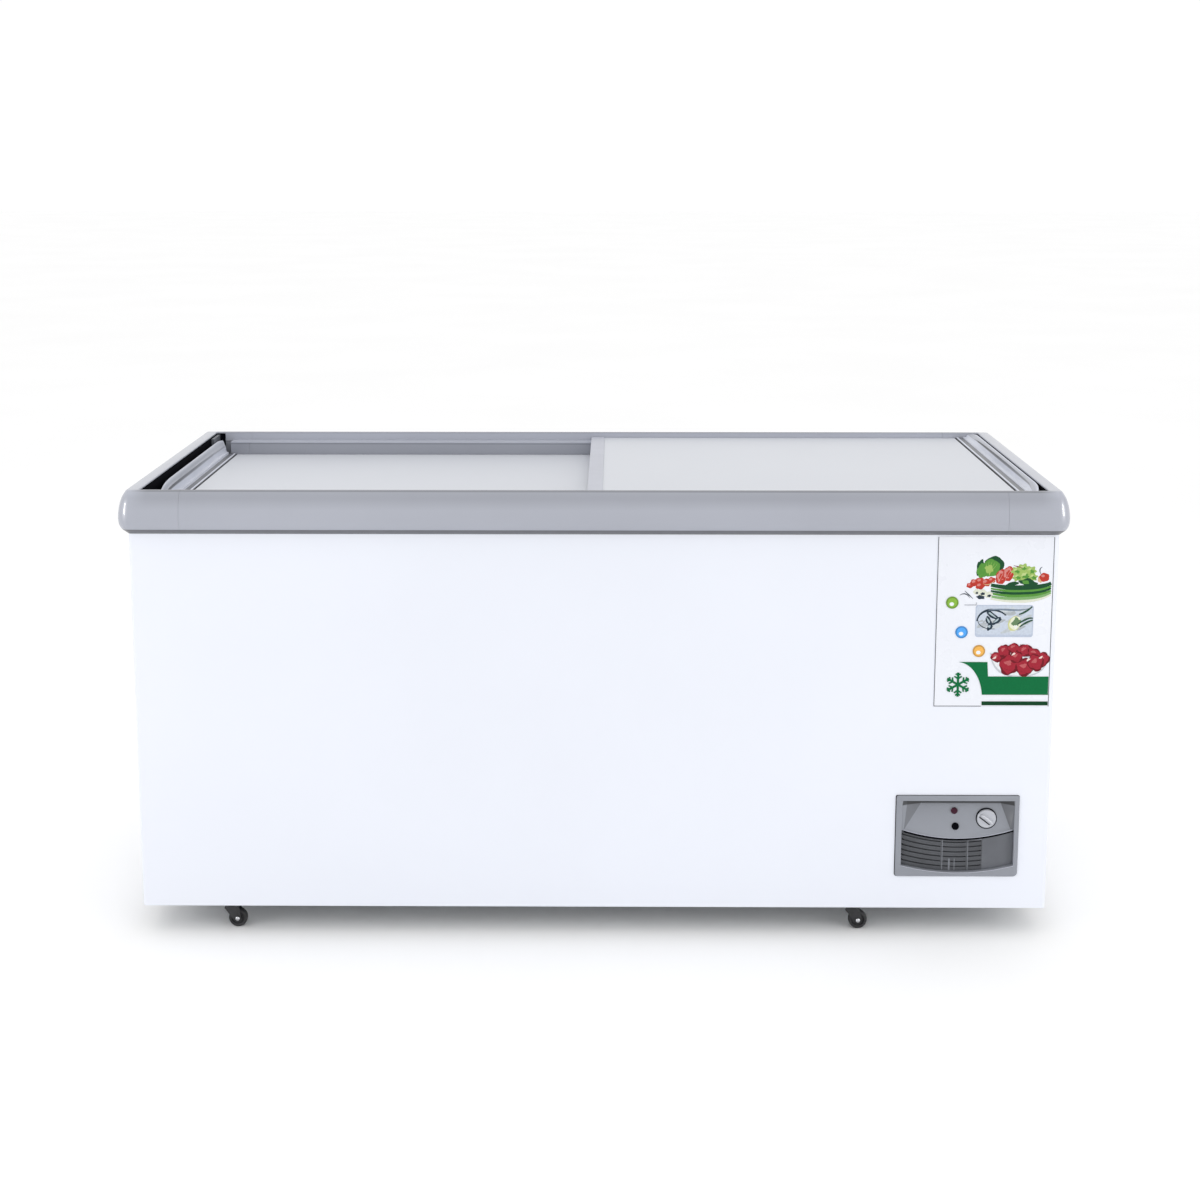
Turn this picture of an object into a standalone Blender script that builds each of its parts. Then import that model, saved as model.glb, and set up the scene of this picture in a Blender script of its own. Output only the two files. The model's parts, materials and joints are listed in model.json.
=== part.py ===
"""Chest freezer for a shop, with two sliding glass lids, on four swivel casters.

Metres, +Z up, origin on the floor under the middle of the cabinet. The front faces -Y.
"""

import math

import bmesh
import bpy
from mathutils import Matrix, Vector

# --- driving dimensions -------------------------------------------------------------
WIDTH = 1.90  # over the top frame
DEPTH = 0.82
HEIGHT = 0.93
GAP = 0.0003  # between pieces that touch

FRAME_BULGE = 0.020  # how far the top frame stands out from the cabinet
FRAME_HEIGHT = 0.088
WALL = 0.070  # cabinet wall, from outer skin to liner
SHEET = 0.001  # cabinet sheet metal
CLEARANCE = 0.058  # floor to cabinet

BODY_X = WIDTH / 2 - FRAME_BULGE
BODY_Y = DEPTH / 2 - FRAME_BULGE
OPEN_X = BODY_X - WALL
OPEN_Y = BODY_Y - WALL
FRAME_Z = HEIGHT - FRAME_HEIGHT
FRAME_SKIN = 0.003
FRAME_CORNER = 0.028  # corner radius of the frame, seen from above
FRAME_SEAM_X = 0.824  # where the end mouldings meet the long rails
TROUGH_X = 0.868  # where the lid tracks stop and the end troughs start
TROUGH_DROP = 0.070
TROUGH_LINER_X = 0.8875  # where the black liner of a trough starts
FLANGE_IN = 0.045  # inner edge of the frame's underside, outward from the opening
END_CREST = 0.048  # inner edge of the crest at the ends, outward from the opening
SIDE_CREST = 0.060  # the same along the front and back
UPPER_TRACK = 0.0185  # below the crest
LOWER_TRACK = 0.0535
TRACK_STEP = 0.024  # edge between the two tracks, outward from the opening
SKIRT_DROP = 0.100

LINER_TOP = HEIGHT - SKIRT_DROP - GAP
LINER_FLOOR = 0.130
STEP_X = 0.500  # left side of the raised floor
STEP_FLOOR = 0.430
BAY_X = 0.560  # left side of the machine bay
BAY_TOP = 0.362
COIL_GAP = 0.010  # between the liner and the foam
COIL_R = 0.0035
COIL_TURNS = 5

LID_GAP = 0.0015  # beside a lid, in its track
GLASS = 0.005
UPPER_GLASS_Z = 0.9120
LOWER_GLASS_Z = 0.8770
UPPER_LID_Y = OPEN_Y + SIDE_CREST - LID_GAP
LOWER_LID_Y = OPEN_Y + TRACK_STEP - LID_GAP
GLASS_END_X = 0.8530
HANDLE_IN_X = 0.8566
LEFT_HANDLE_X = 0.8976  # outer edges
RIGHT_HANDLE_X = 0.9058
TRIM_LEFT_X = -0.0125
TRIM_RIGHT_X = 0.0185
LOWER_TRIM_X = 0.0300

PANEL_X = (0.6185, 0.8690)
PANEL_Z = (0.127, 0.300)
PANEL_FLANGE = 0.004
PANEL_PROUD = 0.004
PANEL_BACK_Y = -0.364
GRILLE_X = (0.630, 0.860)
GRILLE_TOP = (0.226, 0.019)  # height at the sides, and sag in the middle
GRILLE_BOTTOM = (0.151, 0.015)
GRILLE_STEPS = 22
GRILLE_RIBS = (0, 8, 13, 16)  # steps where the upright ribs stand; closed after the last
FACE_LEFT = ((0.631, 0.198), (0.6357, 0.2239), (0.6764, 0.288))  # sides of the control face
FACE_RIGHT = ((0.859, 0.198), (0.8538, 0.2259), (0.8307, 0.288))
KNOB_AT = (0.8045, 0.248)
BUTTON_AT = (0.741, 0.232)
LAMP_AT = (0.7387, 0.264)
KNOB_R = 0.0195
KNOB_WELL_R = 0.0217
BUTTON_R = 0.0072
LAMP_R = 0.0058

WHEEL_R = 0.0193
WHEEL_WIDTH = 0.016
CASTER_TRAIL = 0.016
CASTER_X = {"left": -0.757, "right": 0.533}
CASTER_Y = {"front": -0.355, "back": 0.355}
AXLE_R = 0.0030

COMPRESSOR_AT = (0.755, 0.170)
FAN_AT = (0.745, 0.190)  # x and z of its axis
FAN_R = 0.080

COLOURS = {
    "white_paint": ((0.85, 0.88, 0.94), 0.35, 0.0),
    "grey_frame": ((0.42, 0.44, 0.50), 0.40, 0.0),
    "grey_moulding": ((0.40, 0.42, 0.47), 0.45, 0.0),
    "black_plastic": ((0.01, 0.01, 0.012), 0.60, 0.0),
    "dark_grille": ((0.09, 0.10, 0.12), 0.55, 0.0),
    "foam": ((0.75, 0.66, 0.42), 0.90, 0.0),
    "liner": ((0.80, 0.82, 0.84), 0.40, 0.2),
    "galvanised": ((0.55, 0.57, 0.59), 0.45, 0.9),
    "glass": ((0.78, 0.80, 0.84), 0.10, 0.0),
    "light_trim": ((0.60, 0.62, 0.67), 0.40, 0.0),
    "rubber": ((0.02, 0.02, 0.022), 0.80, 0.0),
    "copper": ((0.72, 0.38, 0.22), 0.30, 1.0),
    "aluminium": ((0.70, 0.71, 0.73), 0.40, 1.0),
    "black_enamel": ((0.015, 0.015, 0.017), 0.35, 0.0),
    "red_lens": ((0.35, 0.01, 0.04), 0.20, 0.0),
    "knob_grey": ((0.50, 0.52, 0.57), 0.35, 0.0),
    "decal": ((0.90, 0.92, 0.95), 0.45, 0.0),
    "steel": ((0.50, 0.51, 0.53), 0.30, 1.0),
}


# --- tools --------------------------------------------------------------------------
def clear_scene():
    for obj in list(bpy.data.objects):
        bpy.data.objects.remove(obj, do_unlink=True)


def material(name):
    """One Principled material of this name, made once."""
    found = bpy.data.materials.get(name)
    if found:
        return found
    colour, roughness, metallic = COLOURS[name]
    made = bpy.data.materials.new(name)
    made.use_nodes = True
    shader = made.node_tree.nodes["Principled BSDF"]
    shader.inputs["Base Color"].default_value = (*colour, 1.0)
    shader.inputs["Roughness"].default_value = roughness
    shader.inputs["Metallic"].default_value = metallic
    made.diffuse_color = (*colour, 1.0)
    return made


def node(name, bm, look, pivot=(0, 0, 0), parent=None):
    """Turns a bmesh in world coordinates into an object with its origin at pivot."""
    bmesh.ops.recalc_face_normals(bm, faces=bm.faces)
    mesh = bpy.data.meshes.new(name)
    bm.to_mesh(mesh)
    bm.free()
    mesh.transform(Matrix.Translation(-Vector(pivot)))
    mesh.shade_smooth()
    mesh.set_sharp_from_angle(angle=math.radians(30))
    mesh.materials.append(material(look))
    obj = bpy.data.objects.new(name, mesh)
    obj.location = pivot
    bpy.context.collection.objects.link(obj)
    if parent:
        obj.parent = parent
        obj.location = Vector(pivot) - parent.matrix_world.translation
    return obj


def axis_empty(name, at, parent=None):
    """An empty on a joint's axis, for the pieces that move with it."""
    empty = bpy.data.objects.new(name, None)
    bpy.context.collection.objects.link(empty)
    empty.location = at
    if parent:
        empty.parent = parent
        empty.location = Vector(at) - parent.matrix_world.translation
    bpy.context.view_layer.update()
    return empty


def boolean(obj, other, operation):
    """Cuts or joins obj with a hidden helper."""
    other.hide_render = True
    other.display_type = "WIRE"
    if obj.parent:
        other.parent = obj.parent
        other.location = other.location - obj.parent.matrix_world.translation
    change = obj.modifiers.new(other.name, "BOOLEAN")
    change.object = other
    change.operation = operation
    change.solver = "EXACT"
    return obj


def cut(obj, bm):
    return boolean(obj, node(f"{obj.name}_cut{len(obj.modifiers)}", bm, "steel"), "DIFFERENCE")


def join(obj, bm):
    return boolean(obj, node(f"{obj.name}_add{len(obj.modifiers)}", bm, "steel"), "UNION")


def block(low, high):
    """A box between two corners."""
    bm = bmesh.new()
    low, high = Vector(low), Vector(high)
    size = high - low
    place = Matrix.Translation((low + high) / 2) @ Matrix.Diagonal((*size, 1))
    bmesh.ops.create_cube(bm, size=1, matrix=place)
    return bm


def hull(points):
    """The convex solid around these points."""
    bm = bmesh.new()
    verts = [bm.verts.new(p) for p in points]
    bmesh.ops.convex_hull(bm, input=verts)
    return bm


def prism(outline, axis, start, end):
    """An outline, in the two axes other than axis, extruded from start to end."""
    bm = bmesh.new()
    spots = [{"x": (start, a, b), "y": (a, start, b), "z": (a, b, start)}[axis] for a, b in outline]
    face = bm.faces.new([bm.verts.new(p) for p in spots])
    grown = bmesh.ops.extrude_face_region(bm, geom=[face])
    moved = [v for v in grown["geom"] if isinstance(v, bmesh.types.BMVert)]
    step = {"x": (1, 0, 0), "y": (0, 1, 0), "z": (0, 0, 1)}[axis]
    bmesh.ops.translate(bm, verts=moved, vec=Vector(step) * (end - start))
    return bm


def loft(loops, ring=False):
    """Joins closed loops of equal length in order. A ring joins the last to the first."""
    bm = bmesh.new()
    rows = [[bm.verts.new(p) for p in loop] for loop in loops]
    count = len(rows[0])
    pairs = list(zip(rows, rows[1:]))
    if ring:
        pairs.append((rows[-1], rows[0]))
    for a, b in pairs:
        for i in range(count):
            j = (i + 1) % count
            bm.faces.new((a[i], a[j], b[j], b[i]))
    if not ring:
        bm.faces.new(rows[0])
        bm.faces.new(rows[-1])
    bmesh.ops.remove_doubles(bm, verts=bm.verts, dist=1e-6)
    return bm


def turned(profile, at, axis="z", steps=24, ring=False):
    """A solid of revolution. profile holds (radius, place along the axis)."""
    loops = []
    for radius, along in profile:
        loop = []
        for k in range(steps):
            turn = math.tau * (k + 0.5 * (steps % 4 != 0)) / steps
            a, b = radius * math.cos(turn), radius * math.sin(turn)
            spot = {"z": (at[0] + a, at[1] + b, along), "y": (at[0] + a, along, at[1] + b)}[axis]
            loop.append(spot)
        loops.append(loop)
    return loft(loops, ring)


def rounded(x0, x1, y0, y1, radius, steps=3):
    """The corner points of a rectangle with round corners, anticlockwise."""
    corners = [(x1, y1, 0), (x0, y1, 90), (x0, y0, 180), (x1, y0, 270)]
    points = []
    for x, y, first in corners:
        cx = x - radius if x == x1 else x + radius
        cy = y - radius if y == y1 else y + radius
        for k in range(steps + 1):
            turn = math.radians(first + 90 * k / steps)
            points.append((cx + radius * math.cos(turn), cy + radius * math.sin(turn)))
    return points


def split(points, middle, steps=3):
    """The same rounded rectangle with a point at x = middle on its back and front edges."""
    row = steps + 1
    back, front = (middle, points[steps][1]), (middle, points[3 * row - 1][1])
    return points[:row] + [back] + points[row:3 * row] + [front] + points[3 * row:]


def level(points, z):
    return [(x, y, z) for x, y in points]


def upright(points, y):
    return [(x, y, z) for x, z in points]


def bezier(a, b, c, d, steps):
    """Points on a cubic curve, without its first."""
    points = []
    for k in range(1, steps + 1):
        t = k / steps
        w = ((1 - t) ** 3, 3 * t * (1 - t) ** 2, 3 * t * t * (1 - t), t**3)
        points.append(tuple(sum(p[i] * f for p, f in zip((a, b, c, d), w)) for i in (0, 1)))
    return points


def pipe(name, points, radius, look, sides=8):
    """A tube of flat triangles along a route, its rings carried along without twist."""
    points = [Vector(p) for p in points]
    steps = [(b - a).normalized() for a, b in zip(points, points[1:])]
    across = steps[0].orthogonal().normalized()
    loops = []
    for k, point in enumerate(points):
        before, after = steps[max(k - 1, 0)], steps[min(k, len(steps) - 1)]
        along = (before + after).normalized()
        across = (across - along * across.dot(along)).normalized()
        beside = along.cross(across)
        turns = [math.tau * i / sides for i in range(sides)]
        loops.append([point + (across * math.cos(t) + beside * math.sin(t)) * radius for t in turns])
    bm = loft(loops)
    bmesh.ops.triangulate(bm, faces=bm.faces)
    return node(name, bm, look)


def smooth_route(points, bend, steps=4):
    """Cuts each corner of a route with a curve that starts bend away from it."""
    route = [Vector(points[0])]
    for before, corner, after in zip(points, points[1:], points[2:]):
        corner = Vector(corner)
        start = corner + (Vector(before) - corner).normalized() * bend
        end = corner + (Vector(after) - corner).normalized() * bend
        for k in range(steps + 1):
            t = k / steps
            route.append(start * (1 - t) ** 2 + corner * 2 * t * (1 - t) + end * t * t)
    route.append(Vector(points[-1]))
    return route


# --- top frame ----------------------------------------------------------------------
def outer_curve():
    """The frame's outside, from its underside over a chamfer and the bulge to the crest."""
    widest, chamfer = (WALL + FRAME_BULGE, -0.058), (0.0815, -0.0800)
    low = [(FLANGE_IN, -FRAME_HEIGHT), (WALL + 0.0015, -FRAME_HEIGHT), chamfer]
    low += bezier(chamfer, (0.0868, -0.0755), (widest[0], -0.0680), widest, 4)
    low += bezier(widest, (widest[0], -0.038), (0.0845, -0.018), (0.0745, -0.003), 4)
    return low + [(0.0725, -0.0006), (0.0700, 0.0)]


def crest_inside(crest):
    return [(crest + 0.003, 0.0), (crest + 0.0008, -0.0008), (crest, -0.003)]


def long_profile():
    """Outside of the frame where the lids run: crest, upper track, lower track, skirt."""
    tracks = [
        (SIDE_CREST, -UPPER_TRACK),
        (TRACK_STEP, -UPPER_TRACK),
        (TRACK_STEP, -LOWER_TRACK),
        (0.0, -LOWER_TRACK),
        (0.0, -SKIRT_DROP),
    ]
    return outer_curve() + crest_inside(SIDE_CREST) + tracks


def end_profile(crest):
    """Outside of the frame at the end troughs: the tracks drop to one floor."""
    floor = -TROUGH_DROP
    tracks = [(crest, floor), (TRACK_STEP, floor), (0.020, floor), (0.0, floor), (0.0, -SKIRT_DROP)]
    return outer_curve() + crest_inside(crest) + tracks


def skinned(profile):
    """The profile closed into a skin of even thickness, open underneath."""
    inner = []
    for k, point in enumerate(profile):
        before = profile[max(k - 1, 0)]
        after = profile[min(k + 1, len(profile) - 1)]
        a = Vector(point) - Vector(before) if k else Vector(after) - Vector(point)
        b = Vector(after) - Vector(point) if k < len(profile) - 1 else a
        a, b = a.normalized(), b.normalized()
        normal = (Vector((-a.y, a.x)) + Vector((-b.y, b.x))).normalized()
        reach = FRAME_SKIN / max(normal.dot(Vector((-a.y, a.x))), 0.5)
        inner.append(tuple(Vector(point) + normal * reach))
    return profile + inner[::-1]


def frame_corner(side_x, side_y, across, along, turn):
    """A point of the corner sweep, from a section of the end and its match on the side."""
    (out_x, z), (out_y, _) = across, along
    x = OPEN_X + out_x - frame_radius(out_x) * (1 - math.cos(turn))
    y = OPEN_Y + out_y - frame_radius(out_y) * (1 - math.sin(turn))
    return (side_x * x, side_y * y, HEIGHT + z)


def frame_radius(out):
    """Corner radius of the frame, seen from above, at this distance out from the opening."""
    return max(FRAME_CORNER - (WALL + FRAME_BULGE - out), 0.003)


def frame_station(side, side_y, x, profile, before_corner):
    """The profile set across a long side at x, or a little before the corner starts."""
    outside = len(profile) // 2
    loop = []
    for k, (out, z) in enumerate(profile):
        back = FRAME_SKIN if k >= outside and x >= TROUGH_X else 0
        corner = OPEN_X + out - frame_radius(out) - before_corner
        loop.append((side * min(x - back, corner), side_y * (OPEN_Y + out), HEIGHT + z))
    return loop


def end_frame(side):
    """The moulding round one end: a U, seen from above."""
    long_side = skinned(long_profile())
    end, end_side = skinned(end_profile(END_CREST)), skinned(end_profile(SIDE_CREST))
    seam, step = FRAME_SEAM_X + GAP / 2, TROUGH_X + 0.0012
    loops = []
    for side_y in (-1, 1):
        half = [frame_station(side, side_y, seam, long_side, 0)]
        half.append(frame_station(side, side_y, TROUGH_X, long_side, 0.0024))
        half.append(frame_station(side, side_y, step, end_side, 0.0012))
        for k in range(5):
            turn = math.radians(90 - 22.5 * k)
            half.append([frame_corner(side, side_y, a, b, turn) for a, b in zip(end, end_side)])
        loops += half if side_y < 0 else half[::-1]
    return loft(loops)


def long_rail(side_y):
    reach = FRAME_SEAM_X - GAP / 2
    outline = [(side_y * (OPEN_Y + out), HEIGHT + z) for out, z in skinned(long_profile())]
    return prism(outline, "x", -reach, reach)


def trough(side):
    """Black liner of an end trough: three tall walls, and a floor that joins them."""
    wall, chamfer = 0.0012, 0.0035
    x0, x1 = TROUGH_LINER_X, OPEN_X + END_CREST - GAP
    y1 = OPEN_Y + SIDE_CREST - GAP
    z0, z1 = HEIGHT - TROUGH_DROP + GAP, HEIGHT - 0.0035
    outside = [(x0, -y1), (x1 - chamfer, -y1), (x1, chamfer - y1)]
    outside += [(x1, y1 - chamfer), (x1 - chamfer, y1), (x0, y1)]
    inside = [(x0, y1 - wall), (x1 - chamfer, y1 - wall), (x1 - wall, y1 - chamfer)]
    inside += [(x1 - wall, chamfer - y1), (x1 - chamfer, wall - y1), (x0, wall - y1)]
    walls = prism([(side * x, y) for x, y in outside + inside], "z", z0 + wall / 2, z1)
    return walls, prism([(side * x, y) for x, y in outside], "z", z0, z0 + wall)


def block_x(side, low, high):
    """A box given on the right side, mirrored to the left when side is -1."""
    ends = sorted((side * low[0], side * high[0]))
    return block((ends[0], low[1], low[2]), (ends[1], high[1], high[2]))


def make_frame():
    node("front_rail", long_rail(-1), "grey_frame")
    node("back_rail", long_rail(1), "grey_frame")
    for name, side in (("left", -1), ("right", 1)):
        node(f"{name}_end_frame", end_frame(side), "grey_frame")
        walls, floor = trough(side)
        join(node(f"{name}_end_trough", walls, "black_plastic"), floor)
    floor = HEIGHT - TROUGH_DROP + GAP + 0.0012 + GAP
    stop = block_x(-1, (0.8992, 0.3050, floor), (0.9058, 0.3760, HEIGHT - 0.006))
    node("left_bumper", stop, "dark_grille")
    stop = block_x(1, (0.8890, 0.3240, floor), (0.9050, 0.3600, LOWER_GLASS_Z - 0.001))
    node("right_bumper", stop, "rubber")


# --- cabinet ------------------------------------------------------------------------
def shell_corner(side_x, inward, z, turn):
    radius = max(0.006 - inward, 0.0005)
    x = BODY_X - inward - radius + radius * math.cos(turn)
    y = BODY_Y - inward - radius + radius * math.sin(turn)
    return (side_x * x, -y, z)


def outer_shell():
    """Painted wrap: front and both sides, with a folded flange above and below."""
    fold = 0.012
    top, low = FRAME_Z - GAP, CLEARANCE
    section = [(0, low), (0, top), (fold, top), (fold, top - SHEET)]
    section += [(SHEET, top - SHEET), (SHEET, low + SHEET), (fold, low + SHEET), (fold, low)]
    back = BODY_Y - SHEET - GAP
    loops = []
    for side in (-1, 1):
        half = [[(side * (BODY_X - inward), back, z) for inward, z in section]]
        for k in range(4):
            turn = math.radians(30 * k)
            half.append([shell_corner(side, inward, z, turn) for inward, z in section])
        loops += half if side < 0 else half[::-1]
    return loft(loops)


def tub_loops(out, floor, step_floor, top, step_x):
    """Loops of a tub with a raised floor on its right, from the bottom up."""
    x, y = OPEN_X + out, OPEN_Y + out
    radius = 0.015 + out
    small = split(rounded(-x, step_x, -y, y, radius), step_x - radius)
    large = split(rounded(-x, x, -y, y, radius), step_x - radius)
    return [level(small, floor), level(small, step_floor), level(large, step_floor), level(large, top)]


def inner_liner():
    outside = tub_loops(SHEET, LINER_FLOOR - SHEET, STEP_FLOOR - SHEET, LINER_TOP - SHEET, STEP_X + SHEET)
    lip = 0.010
    edge = split(rounded(-OPEN_X - lip, OPEN_X + lip, -OPEN_Y - lip, OPEN_Y + lip, 0.015 + lip), STEP_X)
    inside = tub_loops(0.0, LINER_FLOOR, STEP_FLOOR, LINER_TOP, STEP_X)
    return loft(outside + [level(edge, LINER_TOP - SHEET), level(edge, LINER_TOP)] + inside[::-1])


def insulation_foam():
    """Foam that fills the walls, notched for the machine bay."""
    x, front, back = BODY_X - SHEET - GAP, -(BODY_Y - SHEET - GAP), BODY_Y - SHEET - GAP
    low, top = CLEARANCE + 2 * SHEET + 0.001, LINER_TOP - SHEET - 0.001
    radius = 0.006
    small = split(rounded(-x, BAY_X, front, back, radius), BAY_X - radius)
    large = split(rounded(-x, x, front, back, radius), BAY_X - radius)
    outside = [level(small, low), level(small, BAY_TOP), level(large, BAY_TOP), level(large, top)]
    drop = COIL_GAP
    inside = tub_loops(COIL_GAP, LINER_FLOOR - drop, STEP_FLOOR - drop, top, STEP_X + COIL_GAP)
    return loft(outside + inside[::-1])


def coil_route():
    """Turns of tube round the liner, rising evenly, with a tail down into the machine bay."""
    x, y = OPEN_X + COIL_GAP / 2 + SHEET / 2, OPEN_Y + COIL_GAP / 2 + SHEET / 2
    low, high = STEP_FLOOR + 0.040, LINER_TOP - 0.045
    turn = rounded(-x, x, -y, y, 0.020)
    turn = turn[3:] + turn[:3]
    points = []
    total = len(turn) * COIL_TURNS
    for k in range(total):
        a, b = turn[k % len(turn)]
        points.append((a, b, low + (high - low) * k / (total - 1)))
    return points


def make_cabinet():
    shell = node("outer_shell", outer_shell(), "white_paint")
    inset = PANEL_FLANGE - GAP
    low = (PANEL_X[0] + inset, -BODY_Y - 0.01, PANEL_Z[0] + inset)
    high = (PANEL_X[1] - inset, -BODY_Y + 0.01, PANEL_Z[1] - inset)
    cut(shell, block(low, high))

    y0, y1 = BODY_Y - SHEET, BODY_Y
    back = node("back_panel", block((-BODY_X, y0, CLEARANCE), (BODY_X, y1, FRAME_Z - GAP)), "white_paint")
    cut(back, block((0.640, y0 - 0.01, 0.110), (0.860, y1 + 0.01, 0.310)))
    cut(back, turned([(0.0083, y0 - 0.01), (0.0083, y1 + 0.01)], (0.600, 0.110), "y", 16))

    x, y = BODY_X - SHEET - GAP, BODY_Y - SHEET - GAP
    z = CLEARANCE + SHEET + GAP
    node("base_pan", prism(rounded(-x, x, -y, y, 0.006), "z", z, z + SHEET), "galvanised")
    node("inner_liner", inner_liner(), "liner")
    foam = node("insulation_foam", insulation_foam(), "foam")
    cut(foam, turned([(0.007, BAY_TOP - 0.02), (0.007, STEP_FLOOR)], coil_route()[0][:2], "z", 12))
    face_y = -BODY_Y - GAP
    node("front_decal", block((0.6880, face_y - 0.0006, 0.4877), (0.9205, face_y, 0.8385)), "decal")

    vent = node("rear_vent_grille", louvre_plate(), "black_plastic")
    for k in range(9):
        z = 0.122 + 0.021 * k
        slot = [(y1 - 0.02, z), (y1 + 0.02, z + 0.004), (y1 + 0.02, z + 0.012), (y1 - 0.02, z + 0.008)]
        cut(vent, prism(slot, "x", 0.652, 0.848))
    gland = [(0.0135, y1 + GAP), (0.0135, y1 + 0.003), (0.0105, y1 + 0.004), (0.0085, y1 + 0.014)]
    gland += [(0.0045, y1 + 0.014), (0.0045, y0 - 0.006), (0.0080, y0 - 0.006), (0.0080, y1 + GAP)]
    node("cord_gland", turned(gland, (0.600, 0.110), "y", 20, ring=True), "black_plastic")


def louvre_plate():
    """Plate over the vent opening, with a plug that fits into it."""
    y = BODY_Y
    big = rounded(0.628, 0.872, 0.098, 0.322, 0.006)
    small = rounded(0.6403, 0.8597, 0.1103, 0.3097, 0.003)
    loops = ((big, y + 0.003), (big, y + GAP), (small, y + GAP), (small, y - 0.008))
    return loft([upright(points, depth) for points, depth in loops])


# --- lids ---------------------------------------------------------------------------
def front_curl(y, reach, start):
    """How far a handle has curled in at y: 0 as far as start, and 1 at its front end."""
    return (max(start - y, 0) / (start + reach)) ** 2


def back_round(y, reach):
    """How far a handle's outer edge has come in at y, close to its back end."""
    length, depth = 0.018, 0.010
    beyond = max(y - reach + length, 0) / length
    return depth * (1 - math.sqrt(max(1 - beyond**2, 0)))


def handle_section(y, reach, bottom, glass_top, shape):
    """A handle's section at y, from the glass outwards: two ridges, finger dish, raised lip."""
    out_x, (start, depth, fall), crown, dish_floor, wall_top, lip_top, middle, half = shape
    lens = max(1 - ((y - middle) / half) ** 2, 0)
    curl = front_curl(y, reach, start)
    edge = out_x - depth * curl - back_round(y, reach)
    wall_top, lip_top = wall_top - fall * curl, lip_top - fall * curl
    inner, ridge, groove = HANDLE_IN_X, glass_top + 0.0025, glass_top + 0.0010
    section = [(inner, bottom), (inner, ridge - 0.0015), (inner + 0.0012, ridge), (inner + 0.0044, ridge)]
    section += [(inner + 0.0058, groove), (inner + 0.0126, groove)]
    section += [(inner + 0.0138, crown), (inner + 0.0168, crown)]
    base = inner + 0.0168
    room, share = edge - base, 0.34 + 0.24 * math.sqrt(lens)
    floor, foot = crown - lens * (crown - dish_floor), wall_top - 0.003 * lens
    section += [(base + 0.05 * room, floor), (base + (share - 0.24) * room, floor)]
    section += [(base + share * room, foot), (base + (share + 0.02) * room, wall_top)]
    section += [(base + 0.74 * room, wall_top + 0.68 * (lip_top - wall_top))]
    section += [(base + 0.88 * room, lip_top), (base + 0.96 * room, lip_top - 0.0015)]
    return section + [(edge, lip_top - 0.005), (edge, bottom)]


def make_handle(name, side, reach, keel, bottoms, glass_top, shape, parent):
    """Sections along the handle, joined. Between -keel and keel it hangs lower."""
    stops = [keel * k / 8 for k in range(-8, 9)]
    stations = [(y, bottoms[0]) for y in stops]
    step = 0.0006
    for y in (keel + step, reach - 0.012, reach - 0.003, reach):
        stations.append((y, bottoms[1]))
        stations.insert(0, (-y, bottoms[1]))
    loops = []
    for y, bottom in stations:
        section = handle_section(y, reach, bottom, glass_top, shape)
        loops.append([(side * x, y, z) for x, z in section])
    return node(f"{name}_handle", loft(loops), "grey_moulding", parent=parent)


def lid_gasket(name, side, reach, z, parent):
    low, high = (GLASS_END_X + GAP, -reach, z), (HANDLE_IN_X - GAP, reach, z + GLASS + 0.0005)
    node(f"{name}_gasket", block_x(side, low, high), "rubber", parent=parent)


def make_lower_lid():
    lid = axis_empty("left_lid_axis", (0, 0, LOWER_GLASS_Z))
    reach, z = LOWER_LID_Y, LOWER_GLASS_Z
    end = LOWER_TRIM_X - 0.018
    node("left_lid_glass", block((-GLASS_END_X, -reach, z), (end, reach, z + GLASS)), "glass", parent=lid)
    lid_gasket("left_lid", -1, reach - 0.001, z, lid)
    top = z + GLASS
    tops = (top + 0.006, top + 0.002, HEIGHT - 0.028, HEIGHT - 0.015)
    shape = (LEFT_HANDLE_X, (-0.150, 0.0214, 0.009), *tops, -0.06, 0.34)
    make_handle("left_lid", -1, reach - 0.001, 0.300, (z, z), top, shape, lid)
    low, high = (end - 0.008, -reach, z), (LOWER_TRIM_X, reach, z + GLASS + 0.0025)
    trim = node("left_lid_trim", block(low, high), "light_trim", parent=lid)
    cut(trim, block((low[0] - 0.01, -1, z - 0.01), (end + GAP, 1, z + GLASS + GAP)))


def make_upper_lid():
    lid = axis_empty("right_lid_axis", (0, 0, UPPER_GLASS_Z))
    reach, z = UPPER_LID_Y, UPPER_GLASS_Z
    start = TRIM_LEFT_X + 0.016
    node("right_lid_glass", block((start, -reach, z), (GLASS_END_X, reach, z + GLASS)), "glass", parent=lid)
    lid_gasket("right_lid", 1, reach - 0.001, z, lid)
    top = z + GLASS
    tops = (top + 0.0035, top - 0.0045, HEIGHT - 0.004, HEIGHT - 0.003)
    shape = (RIGHT_HANDLE_X, (-0.262, 0.0225, 0.006), *tops, 0.0, 0.31)
    make_handle("right_lid", 1, reach - 0.001, LOWER_LID_Y - 0.002, (z - 0.014, z), top, shape, lid)

    low_z, top = LOWER_GLASS_Z + GLASS + 0.006, top + 0.002
    narrow = LOWER_LID_Y - 0.001
    tee = [(-narrow, low_z), (narrow, low_z), (narrow, z), (reach, z)]
    tee += [(reach, top), (-reach, top), (-reach, z), (-narrow, z)]
    trim = node("right_lid_trim", prism(tee, "x", TRIM_LEFT_X, TRIM_RIGHT_X), "light_trim", parent=lid)
    cut(trim, block((start - GAP, -1, low_z - 0.01), (TRIM_RIGHT_X + 0.01, 1, z + GLASS + GAP)))
    low = (TRIM_LEFT_X + 0.005, -narrow + 0.01, LOWER_GLASS_Z + GLASS + 0.0008)
    high = (TRIM_LEFT_X + 0.009, narrow - 0.01, low_z - GAP)
    node("right_lid_wiper", block(low, high), "rubber", parent=lid)


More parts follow.
